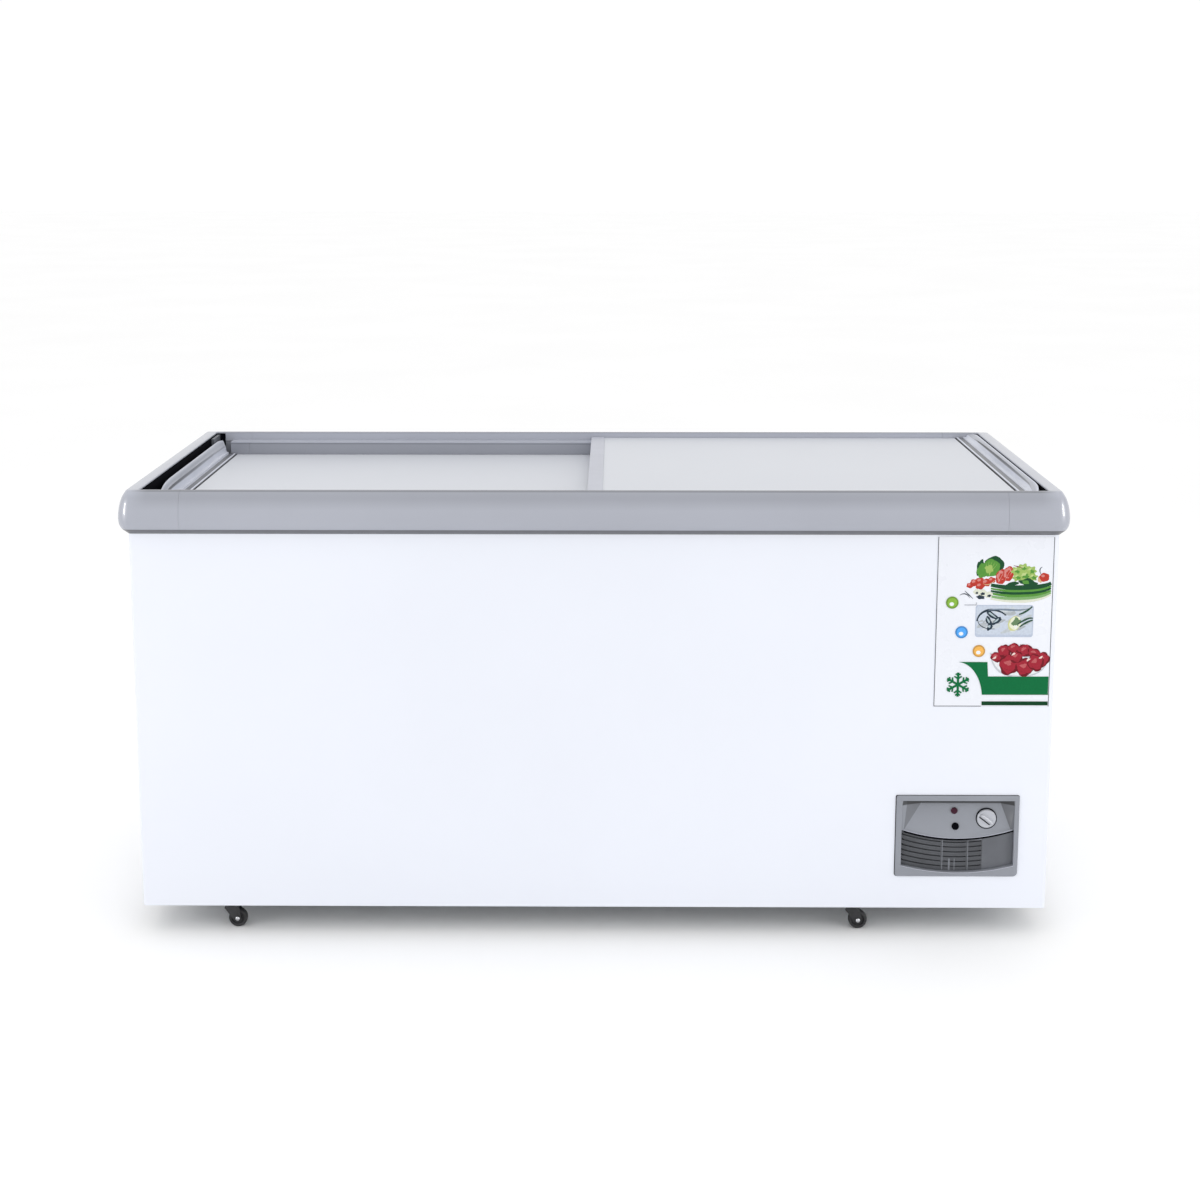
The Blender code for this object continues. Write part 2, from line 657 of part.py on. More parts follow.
# --- control panel ------------------------------------------------------------------
def sagging(height, sag, steps=12, sides=GRILLE_X):
    """Points along a line that hangs in the middle, from left to right."""
    points = []
    for k in range(steps + 1):
        t = k / steps
        x = sides[0] + (sides[1] - sides[0]) * t
        points.append((x, height - sag * (1 - (2 * t - 1) ** 2)))
    return points


def panel_bezel():
    """Frame of the panel, with a sloping control face above and a window below."""
    front, flange_back = -BODY_Y - PANEL_PROUD, -BODY_Y - GAP
    big = rounded(PANEL_X[0], PANEL_X[1], PANEL_Z[0], PANEL_Z[1], 0.006)
    rim = rounded(PANEL_X[0] + 0.001, PANEL_X[1] - 0.001, PANEL_Z[0] + 0.001, PANEL_Z[1] - 0.001, 0.005)
    small = rounded(
        PANEL_X[0] + PANEL_FLANGE, PANEL_X[1] - PANEL_FLANGE,
        PANEL_Z[0] + PANEL_FLANGE, PANEL_Z[1] - PANEL_FLANGE, 0.004,
    )
    loops = [(rim, front), (big, front + 0.001), (big, flange_back), (small, flange_back)]
    return loft([upright(points, y) for points, y in loops + [(small, PANEL_BACK_Y)]])


def control_face_y(z):
    """How far forward the sloping control face is at height z."""
    low, high = 0.207, 0.288
    share = (z - low) / (high - low)
    return -BODY_Y + 0.001 + 0.013 * share


def knob_floor_y():
    """The flat floor of the well that the knob sits in."""
    return control_face_y(KNOB_AT[1] + KNOB_WELL_R)


def make_panel():
    bezel = node("panel_bezel", panel_bezel(), "grey_moulding")
    front = -BODY_Y - 0.02
    x0, x1 = GRILLE_X
    pocket = [(x, y, z) for x in (x0, x1) for y in (front, -BODY_Y - PANEL_PROUD) for z in (0.198, 0.289)]
    pocket.append((x0 + 0.0115, -BODY_Y + 0.002, 0.288))
    pocket += [(x, control_face_y(z), z) for x, z in FACE_LEFT + FACE_RIGHT]
    cut(bezel, hull(pocket))
    window = sagging(*GRILLE_BOTTOM) + sagging(*GRILLE_TOP)[::-1]
    cut(bezel, prism(window, "y", front, PANEL_BACK_Y + 0.01))
    for (x, z), radius in ((KNOB_AT, 0.0040), (BUTTON_AT, BUTTON_R + 0.0004), (LAMP_AT, LAMP_R + 0.0004)):
        cut(bezel, turned([(radius, front), (radius, PANEL_BACK_Y + 0.01)], (x, z), "y", 24))
    cut(bezel, turned([(KNOB_WELL_R, front), (KNOB_WELL_R, knob_floor_y())], KNOB_AT, "y", 32))
    node("panel_grille", grille_bars(), "dark_grille")
    make_controls()


def grille_bars():
    """Comb of sagging slats in front of upright ribs, all one moulding."""
    inset = 0.0006
    y_front, y_back = -BODY_Y + 0.005, -BODY_Y + 0.020
    sides = (GRILLE_X[0] + inset, GRILLE_X[1] - inset)
    slots, slat = 6, 0.0080
    top, bottom = GRILLE_TOP, GRILLE_BOTTOM
    bars = []
    for k in range(slots + 1):
        t = k / slots
        height = bottom[0] + inset + slat + (top[0] - 2 * inset - slat - bottom[0]) * t
        sag = bottom[1] + (top[1] - bottom[1]) * t
        upper = sagging(height, sag, GRILLE_STEPS, sides)
        lower = [(x, z - slat) for x, z in upper]
        bars.append((upper, lower))
    outline = bars[-1][0] + bars[0][1][::-1]
    grille = prism(outline, "y", y_front, y_back)
    body = bpy.data.meshes.new("grille_plate")
    bmesh.ops.recalc_face_normals(grille, faces=grille.faces)
    grille.to_mesh(body)
    grille.free()
    plate = bpy.data.objects.new("grille_plate", body)
    bpy.context.collection.objects.link(plate)
    for k, (bar, above) in enumerate(zip(bars, bars[1:])):
        window = cell_rows(bar[0], above[1])
        for j, cell in enumerate(window):
            cutter = node(f"grille_cell_{k}_{j}", prism(cell, "y", y_front - 0.01, y_back + 0.01), "steel")
            boolean(plate, cutter, "DIFFERENCE")
    bpy.context.view_layer.update()
    shape = plate.evaluated_get(bpy.context.evaluated_depsgraph_get()).to_mesh()
    bm = bmesh.new()
    bm.from_mesh(shape)
    for obj in [plate] + [o for o in bpy.data.objects if o.name.startswith("grille_cell_")]:
        bpy.data.objects.remove(obj, do_unlink=True)
    return bm


def cell_rows(low, high):
    """The open cells between two slats, parted by upright ribs."""
    rib = 0.0018
    cells = []
    for first, last in zip(GRILLE_RIBS, GRILLE_RIBS[1:]):
        points, upper = low[first:last + 1], high[first:last + 1]
        points[0] = (points[0][0] + rib, points[0][1])
        upper[0] = (upper[0][0] + rib, upper[0][1])
        cells.append(points + upper[::-1])
    return cells


def make_controls():
    (kx, kz), (bx, bz), (lx, lz) = KNOB_AT, BUTTON_AT, LAMP_AT
    face = knob_floor_y()
    knob = axis_empty("knob_axis", (kx, face, kz))
    foot = face - 0.0006
    profile = [(KNOB_R, foot), (KNOB_R, foot - 0.0065), (KNOB_R - 0.0015, foot - 0.0080)]
    shaft_end = PANEL_BACK_Y + 0.010
    body = turned([(0.0030, shaft_end), (0.0030, foot)] + profile, (kx, kz), "y", 32)
    dial = node("control_knob", body, "knob_grey", (kx, face, kz), knob)
    lean = math.radians(-38)
    along, across = Vector((math.cos(lean), 0, math.sin(lean))), Vector((-math.sin(lean), 0, math.cos(lean)))
    middle = Vector((kx, 0, kz))
    bar = []
    for length, width, y in ((0.0165, 0.0042, foot - 0.006), (0.0155, 0.0026, foot - 0.0135)):
        for a, b in ((1, 1), (1, -1), (-1, -1), (-1, 1)):
            spot = middle + along * (a * length) + across * (b * width)
            bar.append((spot.x, y, spot.z))
    join(dial, hull(bar))

    low, high = (kx - 0.016, PANEL_BACK_Y + GAP, kz - 0.016), (kx + 0.016, PANEL_BACK_Y + 0.026, kz + 0.016)
    body = node("thermostat_body", block(low, high), "galvanised")
    cut(body, turned([(0.0034, PANEL_BACK_Y - 0.01), (0.0034, shaft_end + 0.002)], (kx, kz), "y", 24))

    face = control_face_y(bz)
    button = axis_empty("button_axis", (bx, face, bz))
    profile = [(0.0045, PANEL_BACK_Y - 0.004), (BUTTON_R, PANEL_BACK_Y - 0.008)]
    profile += [(BUTTON_R, face - 0.0024), (BUTTON_R - 0.001, face - 0.0034)]
    node("push_button", turned(profile, (bx, bz), "y", 24), "black_plastic", (bx, face, bz), button)

    face = control_face_y(lz)
    rim = face - 0.0020
    profile = [(LAMP_R, PANEL_BACK_Y - 0.002), (LAMP_R, rim), (LAMP_R + 0.0012, rim)]
    profile += [(LAMP_R + 0.0004, rim - 0.0006), (LAMP_R - 0.0022, rim - 0.0016)]
    node("indicator_lens", turned(profile, (lx, lz), "y", 20), "red_lens")


# --- machine bay --------------------------------------------------------------------
def make_compressor():
    cx, cy = COMPRESSOR_AT
    base = CLEARANCE + 2 * SHEET + 2 * GAP
    tray = [(-0.13, base), (-0.115, base), (-0.115, base + 0.008), (0.115, base + 0.008), (0.115, base)]
    tray += [(0.13, base), (0.13, base + 0.0015), (0.117, base + 0.0015), (0.117, base + 0.010)]
    tray += [(-0.117, base + 0.010), (-0.117, base + 0.0015), (-0.13, base + 0.0015)]
    node("compressor_tray", prism([(cx + a, z) for a, z in tray], "y", cy - 0.11, cy + 0.11), "galvanised")
    foot = base + 0.010 + GAP
    profile = [(0.045, foot + 0.010), (0.066, foot + 0.020), (0.074, foot + 0.045), (0.075, foot + 0.085)]
    profile += [(0.079, foot + 0.086), (0.079, foot + 0.092), (0.075, foot + 0.093), (0.073, foot + 0.130)]
    profile += [(0.062, foot + 0.155), (0.040, foot + 0.168), (0.015, foot + 0.172)]
    dome = node("compressor", turned(profile, COMPRESSOR_AT, "z", 28), "black_enamel")
    join(dome, prism(rounded(cx - 0.095, cx + 0.095, cy - 0.070, cy + 0.070, 0.02), "z", foot, foot + 0.012))
    low, high = (cx - 0.035, cy - 0.120, foot + 0.030), (cx + 0.035, cy - 0.0765, foot + 0.085)
    node("relay_cover", block(low, high), "black_plastic")
    return foot


def make_condenser():
    """Finned block behind the front grille, its fins open to the front and back."""
    x0, x1, y0, y1 = 0.630, 0.860, -0.330, -0.285
    fins, spine = 16, 0.006
    pitch = (x1 - x0 - 0.003) / fins
    outline = []
    for k in range(fins + 1):
        x = x0 + pitch * k
        outline += [(x, y1), (x, y0), (x + 0.003, y0), (x + 0.003, y1)]
    inner = [(x, y1 - spine if y == y1 else y) for x, y in outline[1:-1]]
    outline = [outline[0]] + inner + [outline[-1]]
    node("condenser", prism(outline, "z", 0.085, 0.305), "aluminium")


def make_fan():
    fx, fz = FAN_AT
    y0, y1 = -0.270, -0.267
    plate = rounded(0.632, 0.858, 0.075, 0.305, 0.004)
    bracket = node("fan_bracket", prism(plate, "y", y0, y1), "galvanised")
    cut(bracket, turned([(FAN_R + 0.006, y0 - 0.02), (FAN_R + 0.006, y1 + 0.02)], (fx, fz), "y", 32))
    join(bracket, block((fx - 0.012, y1 - 0.001, 0.080), (fx + 0.012, y1 + 0.004, 0.300)))
    cut(bracket, turned([(0.006, y0 - 0.02), (0.006, y1 + 0.02)], (fx, fz), "y", 16))
    motor_y = y1 + 0.004 + GAP
    motor = [(0.0030, y0 - 0.006), (0.0030, motor_y), (0.032, motor_y)]
    motor += [(0.032, motor_y + 0.045), (0.026, motor_y + 0.052)]
    node("fan_motor", turned(motor, FAN_AT, "y", 24), "black_enamel")

    axis = axis_empty("fan_axis", (fx, y0, fz))
    hub_front = y0 - 0.012
    hub = [(0.0034, y0 - 0.0015), (0.020, y0 - 0.0015), (0.020, hub_front + 0.002), (0.016, hub_front)]
    hub += [(0.002, hub_front), (0.002, y0 - 0.008), (0.0034, y0 - 0.008)]
    fan = node("fan_blades", turned(hub, FAN_AT, "y", 24, ring=True), "black_plastic", (fx, y0, fz), axis)
    for k in range(5):
        join(fan, fan_blade(math.tau * k / 5, (fx, fz), y0))


def fan_blade(turn, at, y):
    """One tilted blade, wider at its tip."""
    points = []
    for radius, half in ((0.017, 0.010), (FAN_R, 0.026)):
        for side in (-1, 1):
            for thick in (-0.0006, 0.0006):
                lean = turn + side * half / radius
                depth = y - 0.006 + side * 0.0035 + thick
                points.append((at[0] + radius * math.cos(lean), depth, at[1] + radius * math.sin(lean)))
    return hull(points)


def make_pipes(foot):
    cx, cy = COMPRESSOR_AT
    coil = coil_route()
    start = Vector(coil[0])
    tail = Vector((start.x, start.y, BAY_TOP - 0.012))
    route = [tail, start - Vector((0, 0, 0.004))] + coil[1:]
    pipe("evaporator_coil", route, COIL_R, "copper", 6)

    port = Vector((cx + 0.040, cy, foot + 0.172))
    route = [tail - Vector((0, 0, GAP)), tail - Vector((0, 0, 0.030)), (tail.x, cy, tail.z - 0.045)]
    route += [(port.x + 0.03, cy, tail.z - 0.050), (port.x, cy, tail.z - 0.055), port]
    pipe("suction_pipe", smooth_route(route, 0.012), 0.0045, "copper")

    port = Vector((cx - 0.045, cy - 0.030, foot + 0.172))
    route = [port, (port.x, port.y, port.z + 0.035), (0.6100, port.y, port.z + 0.035)]
    route += [(0.6100, -0.318, port.z + 0.035), (0.6100, -0.318, 0.290), (0.6295, -0.318, 0.290)]
    pipe("discharge_pipe", smooth_route(route, 0.012), 0.0030, "copper")

    dx, dy = 0.590, -0.120
    profile = [(0.0040, 0.150), (0.0100, 0.158), (0.0100, 0.232), (0.0040, 0.240)]
    node("filter_drier", turned(profile, (dx, dy), "z", 16), "copper")
    route = [(0.6295, -0.318, 0.100), (0.5900, -0.318, 0.100), (dx, dy, 0.100), (dx, dy, 0.1497)]
    pipe("liquid_pipe", smooth_route(route, 0.012), 0.0030, "copper")


# --- casters ------------------------------------------------------------------------
def make_caster(name, at):
    x, y = at
    top = CLEARANCE + SHEET
    plate = prism(rounded(x - 0.022, x + 0.022, y - 0.022, y + 0.022, 0.004), "z", top - 0.003, top)
    mount = node(f"{name}_caster_plate", plate, "steel")
    join(mount, turned([(0.013, top - 0.002), (0.013, top - 0.008), (0.010, top - 0.009)][::-1], at, "z", 20))

    swivel = axis_empty(f"{name}_swivel_axis", (x, y, top))
    crown = top - 0.009 - GAP
    wheel = (x + CASTER_TRAIL, WHEEL_R)
    fork_outline = [(x - 0.019, y)]
    for k in range(9):
        turn = math.radians(-80 + 20 * k)
        fork_outline.append((x + 0.010 + 0.0155 * math.cos(turn), y + 0.0155 * math.sin(turn)))
    fork = node(f"{name}_caster_fork", prism(fork_outline, "z", crown - 0.0025, crown), "black_enamel",
                (x, y, top), swivel)
    half = WHEEL_WIDTH / 2 + 0.0015
    for side in (-1, 1):
        inner, outer = y + side * half, y + side * (half + 0.0020)
        leg = [(x - 0.0105, 0.0425), (x - 0.0085, crown - 0.001), (x + 0.019, crown - 0.001)]
        for k in range(8):
            turn = math.radians(45 * k)
            leg.append((wheel[0] + 0.0080 * math.cos(turn), wheel[1] + 0.0080 * math.sin(turn)))
        bm = hull([(a, b, c) for a, c in leg for b in (inner, outer)])
        join(fork, bm)
    cut(fork, turned([(AXLE_R + 0.00025, y - 0.03), (AXLE_R + 0.00025, y + 0.03)], wheel, "y", 16))

    reach = half + 0.0030
    heads = [(AXLE_R + 0.0015, y - reach - 0.001), (AXLE_R + 0.0015, y - half - 0.0020 - GAP)]
    heads += [(AXLE_R, y - half - 0.0020 - GAP), (AXLE_R, y + half + 0.0020 + GAP)]
    heads += [(AXLE_R + 0.0015, y + half + 0.0020 + GAP), (AXLE_R + 0.0015, y + reach + 0.001)]
    axle = turned(heads, wheel, "y", 16)
    node(f"{name}_caster_axle", axle, "steel", (wheel[0], y, wheel[1]), swivel)

    spin = axis_empty(f"{name}_wheel_axis", (wheel[0], y, wheel[1]), swivel)
    hw = WHEEL_WIDTH / 2
    tread = [(AXLE_R + 0.0003, y - hw + 0.001), (0.0110, y - hw + 0.001), (0.0130, y - hw), (0.0175, y - hw)]
    tread += [(WHEEL_R, y - hw + 0.0025), (WHEEL_R, y + hw - 0.0025), (0.0175, y + hw), (0.0130, y + hw)]
    tread += [(0.0110, y + hw - 0.001), (AXLE_R + 0.0003, y + hw - 0.001)]
    node(f"{name}_caster_wheel", turned(tread, wheel, "y", 24, ring=True), "rubber",
         (wheel[0], y, wheel[1]), spin)


def main():
    clear_scene()
    make_cabinet()
    make_frame()
    make_lower_lid()
    make_upper_lid()
    make_panel()
    make_fan()
    make_condenser()
    foot = make_compressor()
    make_pipes(foot)
    for end, y in CASTER_Y.items():
        for side, x in CASTER_X.items():
            make_caster(f"{end}_{side}", (x, y))


main()
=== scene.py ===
"""Looks of a chest freezer with two sliding glass lids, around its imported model.

Metres, +Z up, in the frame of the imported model. The front faces -Y.
"""

import json
import math
import random
from collections import namedtuple

import bmesh
import bpy
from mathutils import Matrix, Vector


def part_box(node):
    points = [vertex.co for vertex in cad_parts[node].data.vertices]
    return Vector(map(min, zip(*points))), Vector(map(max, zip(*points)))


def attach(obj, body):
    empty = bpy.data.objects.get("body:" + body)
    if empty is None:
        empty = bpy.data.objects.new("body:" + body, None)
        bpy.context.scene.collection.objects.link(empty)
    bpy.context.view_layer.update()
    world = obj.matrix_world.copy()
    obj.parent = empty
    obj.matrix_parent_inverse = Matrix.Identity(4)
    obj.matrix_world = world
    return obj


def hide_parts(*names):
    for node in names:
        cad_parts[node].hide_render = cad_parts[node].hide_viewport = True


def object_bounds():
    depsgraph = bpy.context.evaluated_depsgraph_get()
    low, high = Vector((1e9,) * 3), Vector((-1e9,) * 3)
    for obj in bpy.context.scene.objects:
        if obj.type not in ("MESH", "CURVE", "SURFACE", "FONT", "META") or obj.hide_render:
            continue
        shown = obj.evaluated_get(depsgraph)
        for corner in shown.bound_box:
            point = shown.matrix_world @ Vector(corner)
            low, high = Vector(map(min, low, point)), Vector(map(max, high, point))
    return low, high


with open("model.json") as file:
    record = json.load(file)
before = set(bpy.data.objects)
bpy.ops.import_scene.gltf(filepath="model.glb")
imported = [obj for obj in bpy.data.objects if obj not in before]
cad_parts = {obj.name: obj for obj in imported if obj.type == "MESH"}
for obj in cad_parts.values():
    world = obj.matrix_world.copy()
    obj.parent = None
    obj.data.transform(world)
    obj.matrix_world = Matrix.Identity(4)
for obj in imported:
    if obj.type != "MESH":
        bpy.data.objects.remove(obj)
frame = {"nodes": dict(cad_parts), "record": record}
cad_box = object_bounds()

# --- sizes the new pieces share with the frame ---
HIGH = cad_box[1]
HEIGHT = HIGH.z
SHELL_LOW, SHELL_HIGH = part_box("outer_shell")
FRONT_Y = SHELL_LOW.y  # face of the cabinet's front
BULGE = HIGH.x - SHELL_HIGH.x  # how far the top frame stands out
WALL = 0.070
OPEN_X = SHELL_HIGH.x - WALL  # the opening between the inner walls
OPEN_Y = -SHELL_LOW.y - WALL
FRAME_CORNER = 0.028
FLANGE_IN = 0.045  # inner edge of the frame's underside, out from the opening
END_CREST, SIDE_CREST = 0.048, 0.060  # inner edges of its crest
TRACK_STEP = 0.024
UPPER_TRACK, LOWER_TRACK, TROUGH_FLOOR = -0.0185, -0.0535, -0.070
FRAME_LOW, SKIRT_LOW = -0.088, -0.100
SKIN = 0.003  # thickness of the frame's moulding
TROUGH_X = 0.868
SEAM_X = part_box("front_rail")[1].x
SEAM_GAP = 0.0003

PANEL_LOW, PANEL_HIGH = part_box("panel_bezel")
PANEL_CORNERS = (0.004, 0.004, 0.006, 0.009)  # radii, anticlockwise from the upper right
GRILLE_LOW, GRILLE_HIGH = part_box("panel_grille")
WINDOW_X = (0.630, 0.860)
WINDOW_TOP = (0.226, 0.019)  # height at the sides, and sag in the middle
WINDOW_BOTTOM = (0.151, 0.015)
KNOB_AT = (0.8045, 0.248)
BUTTON_AT = (0.741, 0.232)
LAMP_AT = (0.7387, 0.264)
FACE_LEFT = ((0.631, 0.198), (0.6357, 0.2239), (0.6764, 0.288))  # sides of the control face
FACE_RIGHT = ((0.859, 0.198), (0.8538, 0.2259), (0.8307, 0.288))
KNOB_WELL_R = 0.0217


# --- mesh tools ---
def loft(loops, ring=False, tones=None):
    """Loops of points joined in order, with a tone painted on each point if there are tones."""
    bm = bmesh.new()
    layer = bm.verts.layers.float_color.new("tone") if tones else None
    rows = [[bm.verts.new(p) for p in loop] for loop in loops]
    for row, shades in zip(rows, tones or []):
        for vert, tone in zip(row, shades):
            vert[layer] = (tone, tone, tone, 1.0)
    count = len(rows[0])
    pairs = list(zip(rows, rows[1:]))
    if ring:
        pairs.append((rows[-1], rows[0]))
    for a, b in pairs:
        for i in range(count):
            j = (i + 1) % count
            bm.faces.new((a[i], a[j], b[j], b[i]))
    if not ring:
        bm.faces.new(rows[0])
        bm.faces.new(rows[-1])
    bmesh.ops.remove_doubles(bm, verts=bm.verts, dist=1e-6)
    return bm


def turned(profile, at, axis="z", steps=48, ring=False):
    """A solid of revolution. profile holds (radius, place along the axis)."""
    loops = []
    for radius, along in profile:
        loop = []
        for k in range(steps):
            turn = math.tau * k / steps
            a, b = at[0] + radius * math.cos(turn), at[1] + radius * math.sin(turn)
            loop.append((a, b, along) if axis == "z" else (a, along, b))
        loops.append(loop)
    return loft(loops, ring)


def prism(outline, axis, start, end):
    """An outline, in the two axes other than axis, extruded from start to end."""
    def spot(a, b, place):
        return {"x": (place, a, b), "y": (a, place, b), "z": (a, b, place)}[axis]

    return loft([[spot(a, b, place) for a, b in outline] for place in (start, end)])


def block(low, high):
    corners = [(low[0], low[1]), (high[0], low[1]), (high[0], high[1]), (low[0], high[1])]
    return prism(corners, "z", low[2], high[2])


def hull(points):
    bm = bmesh.new()
    verts = [bm.verts.new(p) for p in points]
    bmesh.ops.convex_hull(bm, input=verts)
    return bm


def merged(parts):
    """Several separate solids in one bmesh."""
    whole = bmesh.new()
    for part in parts:
        mesh = as_mesh("merging", part)
        whole.from_mesh(mesh)
        bpy.data.meshes.remove(mesh)
    return whole


def as_mesh(name, bm):
    bmesh.ops.recalc_face_normals(bm, faces=bm.faces)
    mesh = bpy.data.meshes.new(name)
    bm.to_mesh(mesh)
    bm.free()
    return mesh


def round_points(x, y, radius, angles):
    """Points on a circle about x, y, at these angles in degrees."""
    return [(x + radius * math.cos(math.radians(a)), y + radius * math.sin(math.radians(a))) for a in angles]


def rounded(x0, x1, y0, y1, radii, steps=6):
    """Corner points of a rectangle, anticlockwise from the upper right, each corner with its radius."""
    corners = [(x1, y1, 0), (x0, y1, 90), (x0, y0, 180), (x1, y0, 270)]
    points = []
    for (x, y, first), radius in zip(corners, radii):
        cx = x - radius if x == x1 else x + radius
        cy = y - radius if y == y1 else y + radius
        points += round_points(cx, cy, radius, [first + 90 * k / steps for k in range(steps + 1)])
    return points


def bezier(a, b, c, d, steps):
    """Points on a cubic curve, without its first."""
    points = []
    for k in range(1, steps + 1):
        t = k / steps
        w = ((1 - t) ** 3, 3 * t * (1 - t) ** 2, 3 * t * t * (1 - t), t**3)
        points.append(tuple(sum(p[i] * f for p, f in zip((a, b, c, d), w)) for i in (0, 1)))
    return points


def upright(points, y):
    return [(x, y, z) for x, z in points]


def carved(bm, cutters=(), additions=()):
    """The solid with others cut away from it or joined to it."""
    body = bpy.data.objects.new("carving", as_mesh("carving", bm))
    tools = []
    for operation, others in (("UNION", additions), ("DIFFERENCE", cutters)):
        for other in others:
            tool = bpy.data.objects.new("carving_tool", as_mesh("carving_tool", other))
            tools.append(tool)
            change = body.modifiers.new("carve", "BOOLEAN")
            change.object, change.operation, change.solver = tool, operation, "EXACT"
    for obj in [body] + tools:
        bpy.context.collection.objects.link(obj)
    bpy.context.view_layer.update()
    shape = body.evaluated_get(bpy.context.evaluated_depsgraph_get())
    result = bmesh.new()
    result.from_mesh(shape.data)
    for obj in [body] + tools:
        bpy.data.objects.remove(obj, do_unlink=True)
    return result


def piece(name, bm, slot, body="cabinet", nodes=(), sharp=35, bevel=0.0, look=None):
    """Makes the piece, gives it its finish, and sets it on its body in place of CAD nodes."""
    mesh = as_mesh(name, bm)
    mesh.shade_smooth()
    mesh.set_sharp_from_angle(angle=math.radians(sharp))
    mesh.materials.append(look or LOOKS[slot])
    obj = bpy.data.objects.new(name, mesh)
    bpy.context.collection.objects.link(obj)
    if bevel:
        round_edges(obj, bevel)
    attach(obj, body)
    if nodes:
        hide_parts(*nodes)
    return obj


def round_edges(obj, width, segments=2):
    """Small round edges, so that they catch the light."""
    bevel = obj.modifiers.new("edges", "BEVEL")
    bevel.width, bevel.segments = width, segments
    bevel.limit_method, bevel.angle_limit = "ANGLE", math.radians(35)
    bevel.use_clamp_overlap = True
    bevel.harden_normals = True


# --- materials ---
def shade(colour, factor):
    return tuple(min(c * factor, 1.0) for c in colour)


class Look:
    """One material, built up from noise in the piece's own coordinates."""

    def __init__(self, name, colour, roughness, metallic=0.0, stretch=(1, 1, 1)):
        self.material = bpy.data.materials.new(name)
        self.material.use_nodes = True
        self.material.diffuse_color = (*colour, 1.0)
        self.tree = self.material.node_tree
        self.shader = self.tree.nodes["Principled BSDF"]
        self.colour, self.roughness = colour, roughness
        self.set(Base_Color=(*colour, 1.0), Roughness=roughness, Metallic=metallic)
        place = self.add("ShaderNodeTexCoord").outputs["Object"]
        mapping = self.add("ShaderNodeMapping")
        mapping.inputs["Scale"].default_value = stretch
        self.link(place, mapping.inputs["Vector"])
        self.place = mapping.outputs["Vector"]
        self.normal = None

    def add(self, kind):
        return self.tree.nodes.new(kind)

    def link(self, a, b):
        self.tree.links.new(a, b)

    def noise(self, scale, detail=3.0):
        made = self.add("ShaderNodeTexNoise")
        made.inputs["Scale"].default_value = scale
        made.inputs["Detail"].default_value = detail
        self.link(self.place, made.inputs["Vector"])
        return made.outputs["Fac"]

    def cells(self, scale):
        made = self.add("ShaderNodeTexVoronoi")
        made.inputs["Scale"].default_value = scale
        self.link(self.place, made.inputs["Vector"])
        return made

    def maths(self, operation, *sources):
        made = self.add("ShaderNodeMath")
        made.operation = operation
        for k, source in enumerate(sources):
            self.link(source, made.inputs[k])
        return made.outputs[0]

    def ranged(self, source, **ends):
        made = self.add("ShaderNodeMapRange")
        for name, value in ends.items():
            made.inputs[name.replace("_", " ")].default_value = value
        self.link(source, made.inputs["Value"])
        return made.outputs["Result"]

    def ramp(self, source, stops):
        made = self.add("ShaderNodeValToRGB")
        elements = made.color_ramp.elements
        while len(elements) < len(stops):
            elements.new(0.5)
        for element, (at, colour) in zip(elements, stops):
            element.position = at
            element.color = (*colour, 1.0)
        self.link(source, made.inputs["Fac"])
        return made.outputs["Color"]

    def tones(self, scale, swing, low=0.35, high=0.65):
        """Colour that drifts a little lighter and darker."""
        stops = [(low, shade(self.colour, 1 - swing)), (high, shade(self.colour, 1 + swing))]
        self.base = self.ramp(self.noise(scale), stops)
        self.link(self.base, self.shader.inputs["Base Color"])
        return self

    def gloss(self, scale, swing):
        """Roughness that drifts a little."""
        rough = self.ranged(self.noise(scale), To_Min=max(self.roughness - swing, 0.02),
                            To_Max=min(self.roughness + swing, 1.0))
        self.link(rough, self.shader.inputs["Roughness"])
        return self

    def bump(self, source, strength, depth):
        """A fine relief on top of any there already."""
        made = self.add("ShaderNodeBump")
        made.inputs["Strength"].default_value = strength
        made.inputs["Distance"].default_value = depth
        self.link(source, made.inputs["Height"])
        if self.normal:
            self.link(self.normal, made.inputs["Normal"])
        self.normal = made.outputs["Normal"]
        self.link(self.normal, self.shader.inputs["Normal"])
        return self

    def grain(self, scale, detail, strength, depth):
        """A fine relief of noise."""
        return self.bump(self.noise(scale, detail), strength, depth)

    def band(self, axis, low, high, soft, mirrored=False):
        """1 between two places along an axis of the piece, 0 elsewhere."""
        parts = self.add("ShaderNodeSeparateXYZ")
        self.link(self.place, parts.inputs["Vector"])
        along = parts.outputs[axis]
        if mirrored:
            along = self.maths("ABSOLUTE", along)
        rise = self.ranged(along, From_Min=low - soft, From_Max=low + soft, To_Min=0.0, To_Max=1.0)
        fall = self.ranged(along, From_Min=high - soft, From_Max=high + soft, To_Min=1.0, To_Max=0.0)
        return self.both(rise, fall)

    def both(self, first, second):
        """Where two masks overlap."""
        return self.maths("MULTIPLY", first, second)

    def multiplied(self):
        """A node that multiplies the colour so far. Its factor and its other colour are still to be set."""
        mix = self.add("ShaderNodeMix")
        mix.data_type, mix.blend_type = "RGBA", "MULTIPLY"
        self.link(self.base, mix.inputs[6])
        self.base = mix.outputs[2]
        self.link(self.base, self.shader.inputs["Base Color"])
        return mix

    def shaded(self, mask, factor):
        """Lighter or darker where the mask is 1."""
        mix = self.multiplied()
        self.link(mask, mix.inputs["Factor"])
        mix.inputs[7].default_value = (factor, factor, factor, 1.0)
        return self

    def painted(self, layer):
        """Multiplied by the tones painted on the mesh."""
        tones = self.add("ShaderNodeVertexColor")
        tones.layer_name = layer
        mix = self.multiplied()
        mix.inputs["Factor"].default_value = 1.0
        self.link(tones.outputs["Color"], mix.inputs[7])
        return self

    def set(self, **values):
        for name, value in values.items():
            self.shader.inputs[name.replace("_", " ")].default_value = value
        return self


